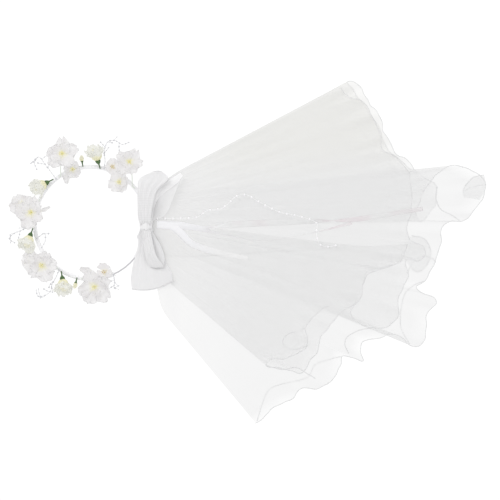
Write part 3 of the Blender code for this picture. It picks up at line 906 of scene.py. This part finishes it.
def makeRosebud(number):
    bud, calyx = f"rosebud_{number}", f"rosebud_{number}_calyx"
    direction = (middle(bud) - middle(calyx)).normalized()
    base = middle(bud) - direction * rosebud["length"] / 2
    place = axisFrame(base, direction)
    chance = random.Random(90 + number)
    shape = Pattern()
    for petal in range(rosebud["furled"]):
        start = petal * 360.0 / rosebud["furled"] * 1.6 + chance.uniform(-10, 10)
        outer = petal / (rosebud["furled"] - 1)
        tall = rosebud["length"] * (1.0 - 0.16 * outer)
        rows, columns = 12, 16
        grid = np.empty((rows + 1, columns + 1, 3))
        for i in range(rows + 1):
            v = i / rows
            for j in range(columns + 1):
                u = 2 * j / columns - 1
                angle = radians(start + rosebud["wrapAround"] * u / 2)
                top = tall * (1 - 0.22 * abs(u) ** 2.2)
                radius = rosebud["radius"] * budRadiusAt(v) * (0.62 + 0.36 * outer)
                radius += 0.0004 * u + 0.0016 * outer * max(0.0, v - 0.72) * 3.0 * (1 - abs(u))
                radius += 0.0002 * sin(9 * u + 4 * v + petal)
                grid[i, j] = (radius * cos(angle), radius * sin(angle), top * v)
        shape.patch(turned(grid, place))
    for petal in range(rosebud["open"]):
        reach = hypot(rosebud["length"], rosebud["openRadius"]) * chance.uniform(0.78, 1.0)
        grid = petalGrid(reach, reach * rosebud["openWidth"], chance.uniform(-4, 8), chance)
        angle = tau * (petal + chance.uniform(-0.2, 0.2)) / rosebud["open"]
        lean = radians(chance.uniform(*rosebud["openLean"]))
        turn = Matrix.Rotation(angle, 4, "Z") @ Matrix.Translation((0.002, 0, 0.0004 * petal))
        turn = turn @ Matrix.Rotation(-lean, 4, "Y")
        shape.patch(turned(grid, place @ turn), finish=1)
    piece = shape.piece(f"{bud}_furled", finishes["bud"], finishes["rose"])
    thicken(piece, 0.0002, 0.0)
    piece.visible_diffuse = False       # its own leaves would darken it too much
    dress(piece, "crown", bud)
    makeCalyx(calyx, place, chance)


def makeCalyx(node, place, chance):
    green = Pattern()
    for leaf in range(calyxCup["leaves"]):
        angle = tau * leaf / calyxCup["leaves"] + chance.uniform(-0.1, 0.1)
        grid = np.empty((9, 5, 3))
        for i in range(9):
            v = i / 8
            half = calyxCup["leafHalfWidth"] * sin(pi * (0.22 + 0.76 * v)) ** 0.9
            half = half * (1 - 0.35 * v) + 0.0001
            out = 0.0036 + 0.0036 * sin(pi * 0.5 * v) + 0.0010 * v * v
            for j in range(5):
                u = j / 2 - 1
                a = angle + u * half / max(out, 0.001)
                grid[i, j] = (out * cos(a), out * sin(a), -0.002 + calyxCup["leafLength"] * v)
        green.patch(turned(grid[:, ::-1], place))
    around = calyxCup["around"]
    base = np.array([[
        (r * cos(a), r * sin(a), z) for a in (tau * k / around for k in range(around))
    ] for r, z in calyxCup["outline"]])
    green.closedRings(turned(base[:, ::-1], place))
    dress(green.piece(f"{node}_leaves", finishes["calyx"]), "crown", node)


def makeSmallBud(number):
    node = f"small_bud_{number}"
    centre = middle(node)
    outward = Vector((centre.x, centre.y, 0)).normalized()
    place = axisFrame(centre, (outward + Vector((0, 0, smallBud["rise"]))).normalized())
    shape = Pattern()
    rows, around = 14, 16
    grid = np.empty((rows + 1, around, 3))
    for i in range(rows + 1):
        v = i / rows
        for j in range(around):
            a = tau * j / around
            fold = 1 + 0.10 * sin(3 * a + 5 * v)
            radius = smallBud["radius"] * sin(pi * (0.12 + 0.80 * v)) ** 0.75 * fold
            grid[i, j] = (radius * cos(a), radius * sin(a), -0.0008 + smallBud["length"] * v)
    shape.closedRings(turned(grid, place))
    stem = [tuple(place @ Vector((0, 0, z))) for z in smallBud["stemHeights"]]
    shape.tube(stem, smallBud["stemRadii"], 8, finish=1)
    piece = shape.piece(f"{node}_furled", finishes["bud"], finishes["calyx"])
    dress(piece, "crown", node)


for budNumber in range(1, 5):
    makeRosebud(budNumber)
for budNumber in (1, 2):
    makeSmallBud(budNumber)
print("buds made")


# sprays: thin wires with pips strung on them

spray = {
    "wireRadius": 0.00032,
    "pipRadius": 0.0015,
    "spacing": 0.0052,
    "smallest": 0.5,            # share of a full pip
    "twigs": (5, 5, 4, 5, 1, 4),    # on each spray
    "twigLength": 0.0115,
    "twigSteps": 7,
    # angle round the hoop, millimetres out, millimetres over the wrap
    "routes": (
        (
            (76, 0, 1.2), (76.8, 12.5, 3), (79, 26, 4), (78, 41, 6), (73.5, 46.5, 6), (68, 44.5, 5),
            (64.5, 51.5, 4),
        ),
        ((128, 0, 1.2), (127.8, 13, 3), (127.7, 28, 4), (127.8, 42.5, 5), (132.5, 42.5, 4), (135, 31, 3)),
        ((178, 0, 1.2), (182.4, 9, 1.4), (185.9, 19.5, 2), (187.7, 32, 3), (191, 41.5, 3), (194.6, 35, 2)),
        (
            (236, 0, 1.2), (237.6, 13, 2), (238, 25.5, 3), (239.7, 35, 3), (238.2, 45, 3), (234.5, 53, 3),
            (231, 47, 3),
        ),
        ((196, 0, 1.2), (194.4, -7, 2), (192.5, -14.5, 3), (201.5, -12, 3), (206.5, -3, 2.2)),
        ((-66.2, 0, 1.2), (-67.6, 11.5, 2), (-69.9, 19.5, 3), (-67, 25, 3)),
    ),
}


def sideTwigs(line, number):
    # short bent twigs off both sides of the spray's wire, nearer its end
    chance = random.Random(600 + number)
    twigs = []
    count = spray["twigs"][number - 1]
    for twig in range(count):
        start = int(len(line) * (0.30 + 0.62 * twig / count))
        ahead = line[start + 1] - line[start]
        heading = atan2(ahead[1], ahead[0]) + (0.9 if twig % 2 else -0.9) * chance.uniform(0.7, 1.3)
        bend = chance.uniform(-0.16, 0.16)
        reach = spray["twigLength"] * chance.uniform(0.6, 1.1)
        spots = [line[start]]
        for _ in range(spray["twigSteps"]):
            heading += bend
            step = (cos(heading), sin(heading), chance.uniform(-0.1, 0.25))
            spots.append(spots[-1] + np.array(step) * reach / spray["twigSteps"])
        twigs.append(spots)
    return twigs


def makeSpray(number, route):
    points = [atHoop(angle, out / 1000, wrapTop + height / 1000) for angle, out, height in route]
    line = spacedEvenly(throughPoints(points, 6), 60)
    piece = grown(
        f"spray_{number}_beaded", beadedWire, lineMesh(line, *sideTwigs(line, number)),
        Rod_radius=spray["wireRadius"], Rod_finish=finishes["sprayWire"],
        Knob_radius=spray["pipRadius"], Knob_finish=finishes["pip"],
        Spacing=spray["spacing"], Smallest=spray["smallest"],
    )
    dress(piece, "crown", f"spray_{number}")


for sprayNumber, sprayRoute in enumerate(spray["routes"], 1):
    makeSpray(sprayNumber, sprayRoute)
print("sprays made")


# veil: two gathered tiers, each one sheet of organza that folds back on itself as it lies

veil = {
    "neckX": headerLow.x + 0.0015,
    "neckHalf": 0.036,          # half the width that the cloth is gathered to
    "shoulderX": 0.118,         # where the gathers let go
    "gathers": 0.00009,
    "gatherPitch": 0.0135,
    "creases": 0.0006,
    "ripples": ((0.034, 0.55), (0.053, 0.35), (0.021, 0.25)),   # lengths and shares
    "frillFrom": 0.80,          # share of the way out
    "frillLift": 0.0030,
    "frillPush": 0.0016,
    "curlLift": 0.0022,
    "floorGap": 0.0004,         # no cloth lies lower
    "apex": (0.006, 0.0126),    # the fan's straight folds point here
    "across": 900,
    "gatherRows": 9,
    "fanRows": 46,
    "hemRadius": 0.00075,
}
# each pass of the hem across the fan, in millimetres from the hoop's middle, and the Y at the gathers
# that the fold after it points to, where that isn't straight at the apex
longTier = {
    "levels": (1.0, 2.6, 4.4, 6.6),
    "passes": (
        ((513, 78), (498, 88), (482, 101), (463, 120), (451, 151), (429, 183), (414, 205)),
        (
            (403, 221), (412, 221), (424, 211), (434, 195), (437, 185), (448, 176), (456, 160), (460, 143),
            (470, 124), (482, 106), (492, 102), (501, 94), (509, 82), (529, 68), (541, 57), (542, 33),
            (534, 20), (527, 10),
        ),
        ((516, 2), (511, 17), (517, 39), (532, 64), (548, 81)),
        (
            (561, 89), (575, 90), (594, 83), (608, 76), (617, 66), (619, 54), (613, 38), (603, 22), (593, 10),
            (580, 2), (566, 3), (553, -4), (549, -16), (548, -30), (545, -46), (537, -66), (523, -91),
            (511, -100), (520, -110), (537, -116), (542, -126), (528, -140), (525, -159), (525, -181),
            (514, -192), (501, -192), (487, -179), (470, -174), (449, -181), (427, -186), (422, -198),
            (427, -216), (410, -211), (393, -209), (391, -225), (380, -244), (357, -259), (333, -259),
            (322, -266), (312, -278), (286, -289), (276, -300), (259, -314),
        ),
    ),
    "foldsPointTo": (None, -0.006, 0.0466),
    # edges that curl back: height, the outline that they curl from, the hem they end in, any cloth between
    "curls": (
        (7.6, ((617, 74), (619, 62), (617, 50), (609, 36)),
         ((616, 75), (601, 72), (591, 63), (584, 52), (586, 40)), 1),
        (7.0, ((617, 74), (604, 70), (594, 62), (588, 52)), ((619, 60), (606, 58), (595, 55), (586, 50)), 0),
        (8.2, ((580, 2), (583, 16), (590, 28)), ((580, 2), (566, 12), (548, 22), (541, 40), (543, 57)), 0),
        (7.4, ((503, -20), (490, -35), (492, -55), (503, -72)),
         ((503, -20), (523, -25), (533, -44), (528, -64), (514, -77), (503, -72)), 1),
        (6.0, ((503, -72), (512, -60), (527, -58)),
         ((496, -80), (505, -62), (520, -52), (536, -56), (541, -62)), 0),
        (6.4, ((258, -312), (269, -295)),
         ((261, -310), (269, -284), (279, -262), (298, -253), (326, -247)), 0),
        (6.4, ((322, -266), (340, -259)),
         ((326, -247), (342, -240), (352, -222), (374, -214), (393, -209)), 0),
        (6.2, ((511, -100), (500, -98)),
         ((523, -91), (506, -98), (492, -112), (486, -140), (487, -166), (500, -190)), 0),
    ),
}
shortTier = {
    "levels": (8.6, 10.2, 11.8, 13.4),
    "passes": (
        (
            (391, 211), (398, 201), (408, 195), (420, 193), (432, 184), (438, 174), (443, 159), (452, 145),
            (455, 133), (454, 121), (459, 113), (470, 107), (482, 100), (493, 86), (501, 64), (503, 36),
            (500, 11), (496, -9), (498, -25), (508, -31), (521, -37), (524, -50), (512, -60), (499, -54),
            (494, -64), (497, -80), (491, -98), (482, -118), (481, -144), (467, -162), (440, -164),
        ),
        ((418, -155), (407, -139), (416, -121), (426, -97), (436, -79), (461, -71), (480, -61), (491, -46)),
        (
            (496, -33), (492, -45), (482, -62), (460, -69), (434, -76), (427, -94), (424, -113), (411, -129),
            (391, -140), (380, -154), (364, -174), (357, -190), (353, -204), (342, -219), (330, -235),
            (315, -231), (295, -227),
        ),
        (
            (275, -223), (281, -214), (303, -212), (323, -204), (338, -193), (341, -181), (335, -165),
            (346, -151), (357, -139), (373, -129),
        ),
    ),
    "foldsPointTo": (-0.038, -0.059, None),
    "curls": (
        (14.6, ((281, -214), (300, -224)),
         ((275, -223), (300, -229), (322, -226), (340, -236), (352, -243)), 0),
        (14.2, ((440, -164), (425, -160)),
         ((440, -164), (420, -168), (402, -178), (398, -190), (404, -204)), 0),
        (14.6, ((341, -181), (330, -176)),
         ((335, -165), (306, -176), (302, -190), (318, -198), (340, -192)), 0),
    ),
}


def hemWaypoints(tier):
    # one row for each waypoint: X, Y, height, and the Y at the gathers that it hangs from
    rows = []
    folds = tier["foldsPointTo"]
    for number, points in enumerate(tier["passes"]):
        for index, (x, y) in enumerate(points):
            x, y = x / 1000, y / 1000
            reach = (veil["shoulderX"] - veil["apex"][0]) / (x - veil["apex"][0])
            shoulder = veil["apex"][1] + (y - veil["apex"][1]) * reach
            height = tier["levels"][number] / 1000
            if index == 0 and number > 0:
                height = (tier["levels"][number] + tier["levels"][number - 1]) / 2000
                pointed = folds[number - 1]
                shoulder = shoulder if pointed is None else pointed
            rows.append((x, y, height, shoulder))
    return np.array(rows)


def tierGrid(tier, seed):
    line = spacedEvenly(throughPoints(hemWaypoints(tier), 12), veil["across"], across=2)
    hem, level, shoulderY = line[:, :2], line[:, 2], line[:, 3]
    shoulderX = veil["shoulderX"] - 0.15 * np.maximum(0.0, -shoulderY - 0.06)
    neckY = veil["neckHalf"] * np.tanh(shoulderY / 0.07) - 0.002
    far = distanceAlong(line, 2)
    phases = random.Random(seed)
    ripple = np.zeros(len(line))
    for length, share in veil["ripples"]:
        ripple += share * np.sin(tau * far / length + phases.uniform(0, tau))
    gathers = np.sin(tau * far / veil["gatherPitch"] + 1.5 * np.sin(far * 37.0))
    rows = []
    for i in range(veil["gatherRows"]):
        t = i / veil["gatherRows"]
        x = veil["neckX"] + (shoulderX - veil["neckX"]) * t
        y = neckY + (shoulderY - neckY) * t
        rows.append(np.column_stack([x, y, level + veil["gathers"] * gathers * t]))
    outward = np.column_stack([hem[:, 0] - shoulderX, hem[:, 1] - shoulderY])
    reach = np.linalg.norm(outward, axis=1)
    for i in range(veil["fanRows"] + 1):
        t = (i / veil["fanRows"]) ** 0.92
        x = shoulderX + outward[:, 0] * t
        y = shoulderY + outward[:, 1] * t
        frill = easedStep((t - veil["frillFrom"]) / (1 - veil["frillFrom"])) ** 1.5
        folds = veil["gathers"] * (1 - t) ** 2 * gathers + veil["creases"] * sin(pi * t) * ripple
        z = level + folds + frill * veil["frillLift"] * (ripple + 0.8)
        push = frill * veil["frillPush"] * np.roll(ripple, 9)
        x = x + push * outward[:, 0] / reach
        y = y + push * outward[:, 1] / reach
        rows.append(np.column_stack([x, y, z]))
    grid = np.array(rows)
    # the turn at the end of the gathers is softened
    for _ in range(10):
        band = grid[veil["gatherRows"] - 5:veil["gatherRows"] + 6]
        band[1:-1] = (band[:-2] + 2 * band[1:-1] + band[2:]) / 4
    # up over the header's top, where the tiers are stitched
    onHeader = 1 - easedStep((grid[:, :, 0] - headerHigh.x - 0.0005) / 0.030)
    stitched = headerHigh.z + 0.00005 + level / 45
    grid[:, :, 2] += (stitched - grid[:, :, 2]) * onHeader
    grid[:, :, 2] = np.maximum(grid[:, :, 2], veil["floorGap"])
    return grid, far[-1]


def addCurl(cloth, cord, height, outline, inner, clothBetween):
    # a stretch of hem that rolls back over the cloth
    sides = []
    for points in (outline, inner):
        flat = [(x / 1000, y / 1000, height / 1000) for x, y in points]
        sides.append(spacedEvenly(throughPoints(flat, 8), 40))
    rows = []
    for t in np.linspace(0, 1, 7):
        row = sides[0] * (1 - t) + sides[1] * t
        row[:, 2] += veil["curlLift"] * sin(pi * t) * (1 - 0.4 * t)
        rows.append(row)
    if clothBetween:
        cloth.patch(np.array(rows), (0.06, 0.03))
    cord.tube(sides[1], veil["hemRadius"], 6)


def meshArea(grid):
    down = grid[1:, :-1] - grid[:-1, :-1]
    over = grid[:-1, 1:] - grid[:-1, :-1]
    return float(np.linalg.norm(np.cross(down, over), axis=2).sum())


def makeTier(node, tier, seed):
    grid, around = tierGrid(tier, seed)
    shape = Pattern()
    shape.patch(grid, (around, 0.45))
    cord = Pattern()
    cord.tube(spacedEvenly(grid[-1], 1500), veil["hemRadius"], 6)
    for curl in tier["curls"]:
        addCurl(shape, cord, *curl)
    cloth = shape.piece(f"{node}_cloth", finishes["veil"])
    dress(cloth, "veil", node)
    hem = cord.piece(f"{node}_rolled_hem", finishes["hem"])
    dress(hem, "veil", f"{node}_hem")
    letLightPast(cloth, hem)
    print(node, "cloth area", round(meshArea(grid), 4), "hem", round(around, 3))


header = {
    "sections": 12,
    "around": 150,
    "ridges": 37,
    "ridge": 0.0007,
    "inset": 0.0008,            # leaves the ridges room inside the CAD box
    "pinch": 0.16,              # under the knot
}


def makeHeader():
    # the gathered stack that both tiers are stitched into: ridges run away from the hoop
    low, high = headerLow, headerHigh
    centre, half = (low + high) / 2, (high - low) / 2 - Vector((0, header["inset"], header["inset"]))
    sections, around = header["sections"], header["around"]
    grid = np.empty((sections + 1, around, 3))
    for i in range(sections + 1):
        t = i / sections
        pinch = 1 - header["pinch"] * exp(-((t - 0.35) / 0.10) ** 2)
        pinch -= 0.12 * easedStep(abs(2 * t - 1) * 3 - 2)
        for j in range(around):
            a = tau * j / around
            side, up = cos(a), sin(a)
            z = squared(up, 0.45)
            ridge = header["ridge"] * sin(a * header["ridges"] + 0.8 * sin(5 * a))
            ridge *= (1 - 0.5 * abs(side)) * (1 if up > 0 else -1) * abs(z)
            grid[i, j] = (
                low.x + (high.x - low.x) * t,
                centre.y + half.y * squared(side, 0.35) * (1 - 0.2 * (1 - pinch)),
                centre.z + half.z * z * pinch + ridge,
            )
    shape = Pattern()
    shape.closedRings(grid, (0.12, 0.015))
    piece = shape.piece("veil_header_gathers", finishes["bow"])
    dress(piece, "veil", "veil_header")


makeHeader()
makeTier("veil_long_tier", longTier, 5)
makeTier("veil_short_tier", shortTier, 8)
print("veil made")


# bow: two loops, a sheer band, a tail and the knot that holds them

bow = {
    "base": 0.0165,
    "pleats": 4,
    "pleatDepth": 0.00020,
    "cloth": 0.00025,
    "knotHalf": 0.0066,
    "knotCloth": 0.0006,
    "nearKnot": 0.0042,         # how far cloth rises where it goes into the knot
    "tailLow": 0.0022,          # over the base, as are the next ones
    "bandLow": 0.0034,
    "shadeLow": 0.0010,
    # over the base, rise, seed, and how much of its mouth the upper side leaves open
    "loops": {"lower": (0.0048, 0.0085, 21, 0.42), "upper": (0.0034, 0.0120, 33, 0.0)},
    # Y, then the left and the right edge as distances from the hoop's wire along X
    "upper": (
        (-0.0050, -0.0080, 0.0069), (0.0074, -0.0120, 0.0080), (0.0276, -0.0127, 0.0112),
        (0.0509, -0.0127, 0.0180), (0.0634, -0.0120, 0.0315), (0.0712, -0.0065, 0.0342),
        (0.0789, 0.0092, 0.0263),
    ),
    "lower": (
        (-0.0090, -0.0065, 0.0068), (-0.0240, -0.0050, 0.0160), (-0.0400, -0.0030, 0.0245),
        (-0.0560, 0.0000, 0.0290), (-0.0690, 0.0060, 0.0275),
    ),
    "tail": (
        (-0.0070, -0.0080, 0.0065), (-0.0150, -0.0112, 0.0080), (-0.0215, -0.0143, 0.0120),
        (-0.0290, -0.0122, 0.0160), (-0.0430, -0.0143, 0.0220), (-0.0590, -0.0190, 0.0290),
        (-0.0750, -0.0222, 0.0350), (-0.0880, -0.0237, 0.0395), (-0.1040, -0.0222, 0.0415),
    ),
    # the sheer loop: distance from the wire along X, Y, half its width
    "band": (
        (0.0069, 0.0012, 0.0016), (0.0084, 0.0121, 0.0020), (0.0099, 0.0244, 0.0028),
        (0.0139, 0.0369, 0.0036), (0.0217, 0.0478, 0.0050), (0.0326, 0.0571, 0.0056),
        (0.0451, 0.0665, 0.0054), (0.0552, 0.0758, 0.0030),
    ),
    "bandShade": (
        (0.0120, 0.0052), (0.0250, 0.0088), (0.0343, 0.0198), (0.0405, 0.0353), (0.0467, 0.0509),
        (0.0529, 0.0665), (0.0568, 0.0758),
    ),
}


def bowStation(outline, share):
    line = throughPoints(outline, 10)
    marks = np.linspace(0, 1, len(line))
    return [np.interp(share, marks, column) for column in line.T]


def nearKnot(y):
    return bow["nearKnot"] * exp(-((y + 0.005) / 0.013) ** 2)


def bowLoop(which):
    # out along the under side and back along the upper
    overBase, height, seed, mouth = bow["loops"][which]
    low = bow["base"] + overBase
    rows, columns = 56, 64
    shift = random.Random(seed).uniform(0, tau)
    grid = np.empty((rows + 1, columns + 1, 3))
    for i in range(rows + 1):
        u = i / rows
        out = sin(pi * u) ** 0.75
        y, left, right = bowStation(bow[which], out)
        belly = sin(pi * min(1.0, out * 0.92)) ** 0.7
        lift = (0.5 - 0.5 * cos(pi * u)) * (0.05 + 0.95 * belly) * height
        right -= (right - left) * mouth * easedStep((u - 0.5) * 3) * belly
        for j in range(columns + 1):
            v = j / columns
            wave = sin(tau * bow["pleats"] * v + shift + 0.9 * sin(3 * v + 2 * out))
            fine = sin(tau * bow["pleats"] * 2.3 * v + 2 * shift)
            depth = bow["pleatDepth"] * (1.25 - 0.6 * out) * (0.5 + u)
            edge = 0.0012 * (abs(2 * v - 1) ** 4) * sin(5 * out + (3 if v > 0.5 else 0))
            z = low + lift + depth * (wave + 0.4 * fine + 1.4) + edge * (0.3 + u) + nearKnot(y)
            bend = 0.0022 * sin(pi * v) * out * (1 if u < 0.5 else 0.4)
            grid[i, j] = (hoopRadius + left + (right - left) * v, y + copysign(bend, y), z)
    piece = clothOf(f"bow_{which}_loop_cloth", grid, (0.045, 0.17), "bow", bow["cloth"])
    dress(piece, "crown", f"bow_{which}_loop")


def bowTail():
    rows, columns = 44, 64
    grid = np.empty((rows + 1, columns + 1, 3))
    for i in range(rows + 1):
        t = i / rows
        y, left, right = bowStation(bow["tail"], t)
        cutOff = easedStep((t - 0.55) / 0.45)
        for j in range(columns + 1):
            v = j / columns
            wave = sin(tau * 4 * v + 0.9 * sin(4 * v)) + 0.4 * sin(tau * 9 * v + 1)
            slant = (0.0125 * v ** 2 - 0.0035 * sin(pi * v)) * cutOff
            z = bow["base"] + bow["tailLow"] + 0.00035 * (1.3 - 0.8 * t) * (wave + 1.3) + nearKnot(y)
            z += 0.0025 * sin(pi * t) * sin(pi * v)
            grid[i, j] = (hoopRadius + left + (right - left) * v, y + slant, z)
    piece = clothOf("bow_tail_end", grid[:, ::-1], (0.06, 0.10), "bow", bow["cloth"])
    dress(piece, "crown", "bow_tail")


def sheerBand():
    # a see-through loop that points past the upper loop, folded along its hoop side, where its upper layer
    # has a painted highlight
    centre = spacedEvenly(throughPoints(bow["band"], 10), 30, across=2)
    shaded = spacedEvenly(throughPoints(bow["bandShade"], 10), 30, across=2)
    ahead = headings(centre)
    side = np.column_stack([ahead[:, 1], -ahead[:, 0]])
    rows, under = [], []
    for i in range(30):
        t = i / 29
        row, below = [], []
        for v in np.linspace(-1, 1, 25):
            spot = centre[i, :2] + side[i] * v * centre[i, 2]
            crown = 0.0014 * (1 - v * v) * sin(pi * t)
            z = bow["base"] + bow["bandLow"] + crown + nearKnot(spot[1]) * 0.8
            row.append((hoopRadius + spot[0], spot[1], z))
            far = (v + 1) / 2
            spot = centre[i, :2] * (1 - far) + shaded[i] * far
            z = bow["base"] + bow["shadeLow"] + 0.0006 * sin(7 * far)
            z += 0.0016 * (1 - far) * sin(pi * t)
            below.append((hoopRadius + spot[0], spot[1], z))
        rows.append(row)
        under.append(below)
    shape = Pattern()
    shape.patch(np.array(rows), (0.02, 0.09))
    shape.patch(np.array(under), (0.03, 0.09), finish=1)
    piece = shape.piece("bow_sheer_band", finishes["bandFoldHighlight"], finishes["band"])
    dress(piece, "crown", "bow_organza_loop")


def bowKnot():
    low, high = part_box("bow_knot")
    outline = throughPoints((
        (low.x + 0.0003, 0.0012), (low.x - 0.0002, 0.009), (low.x + 0.0008, 0.019), (0.0800, 0.0252),
        (0.0868, 0.0274), (0.0915, 0.0268), (0.0952, 0.0240), (0.0968, 0.0196),
        (0.0962, 0.0168), (0.0946, 0.0125), (0.0947, 0.0060), (0.0946, 0.0012),
    ), 8)
    columns = 60
    middleX, middleZ = (low.x + high.x) / 2, 0.013
    grid = np.empty((len(outline), columns + 1, 3))
    for i, (x, z) in enumerate(outline):
        for j in range(columns + 1):
            v = 2 * j / columns - 1
            fold = 0.00028 * (sin(i * 0.42 + 1.2 * v) + 0.5 * sin(i * 0.93 - 2.0 * v))
            tuck = 0.0022 * abs(v) ** 4
            upper = easedStep((z - 0.010) / 0.008)
            shrink = (tuck - fold) / 0.012 * upper
            y = bow["knotHalf"] * v - 0.0055 * upper
            grid[i, j] = (x + (middleX - x) * shrink, y, z + (middleZ - z) * shrink)
    piece = clothOf("bow_knot_wrapped", grid, (0.02, 0.07), "knot", bow["knotCloth"], -1.0)
    letLightPast(piece)
    dress(piece, "crown", "bow_knot")


bowTail()
bowLoop("lower")
bowLoop("upper")
sheerBand()
bowKnot()
print("bow made")


# ribbons that lie along the veil

ribbons = {
    "width": 0.0120,
    "cloth": 0.0003,
    # distance from where the ribbons start, Y, turns of twist so far, width as a share
    "long": (
        (0.0, -0.0028, 0.0, 0.9), (0.032, -0.0040, 0.0, 1.0), (0.060, -0.0072, 0.03, 0.7),
        (0.075, -0.0082, 0.10, 0.6), (0.109, -0.0039, 0.42, 0.9), (0.150, -0.0010, 0.50, 0.85),
        (0.190, 0.0005, 0.50, 0.8), (0.250, 0.0028, 0.62, 0.7), (0.304, 0.0047, 0.92, 0.7),
        (0.360, 0.0130, 1.0, 0.6), (0.415, 0.0220, 1.0, 0.55),
    ),
    "twisted": (
        (0.0, -0.0028, 0.0, 0.9), (0.045, -0.0060, 0.08, 0.8), (0.095, -0.0160, 0.20, 0.7),
        (0.163, -0.0280, 0.24, 0.7), (0.236, -0.0170, 0.27, 0.7), (0.304, -0.0005, 0.35, 0.6),
    ),
    "short": (
        (0.0, -0.0028, 0.0, 0.9), (0.012, -0.0034, 0.0, 1.0), (0.024, -0.0052, 0.0, 1.0),
        (0.036, -0.0140, 0.04, 1.0), (0.056, -0.0330, 0.08, 0.9), (0.095, -0.0460, 0.03, 0.8),
        (0.142, -0.0550, 0.0, 0.5),
    ),
}


def makeRibbon(name):
    node = f"ribbon_{name}"
    line = spacedEvenly(throughPoints(ribbons[name], 14), 220, across=2)
    ahead = headings(line)
    grid = np.empty((len(line), 11, 3))
    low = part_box(node)[0].z + 0.0004
    for i, (x, y, twist, share) in enumerate(line):
        half = ribbons["width"] / 2 * share
        turn = twist * tau
        lift = half * abs(sin(turn)) + 0.0003 * sin(x * 260)
        for j, v in enumerate(np.linspace(-1, 1, 11)):
            sideways = half * v * cos(turn)
            up = half * v * sin(turn) + 0.0006 * (1 - v * v)
            grid[i, j] = (
                ribbonStart + x - ahead[i, 1] * sideways, y + ahead[i, 0] * sideways, low + lift + up,
            )
    size = (ribbons["width"], distanceAlong(line, 2)[-1])
    finish = "shortRibbon" if name == "short" else "ribbon"
    piece = clothOf(f"{node}_satin", grid[:, ::-1], size, finish, ribbons["cloth"])
    letLightPast(piece)
    dress(piece, "ribbons", node)


for ribbonName in ("long", "twisted", "short"):
    makeRibbon(ribbonName)
print("ribbons made")

bpy.context.view_layer.update()
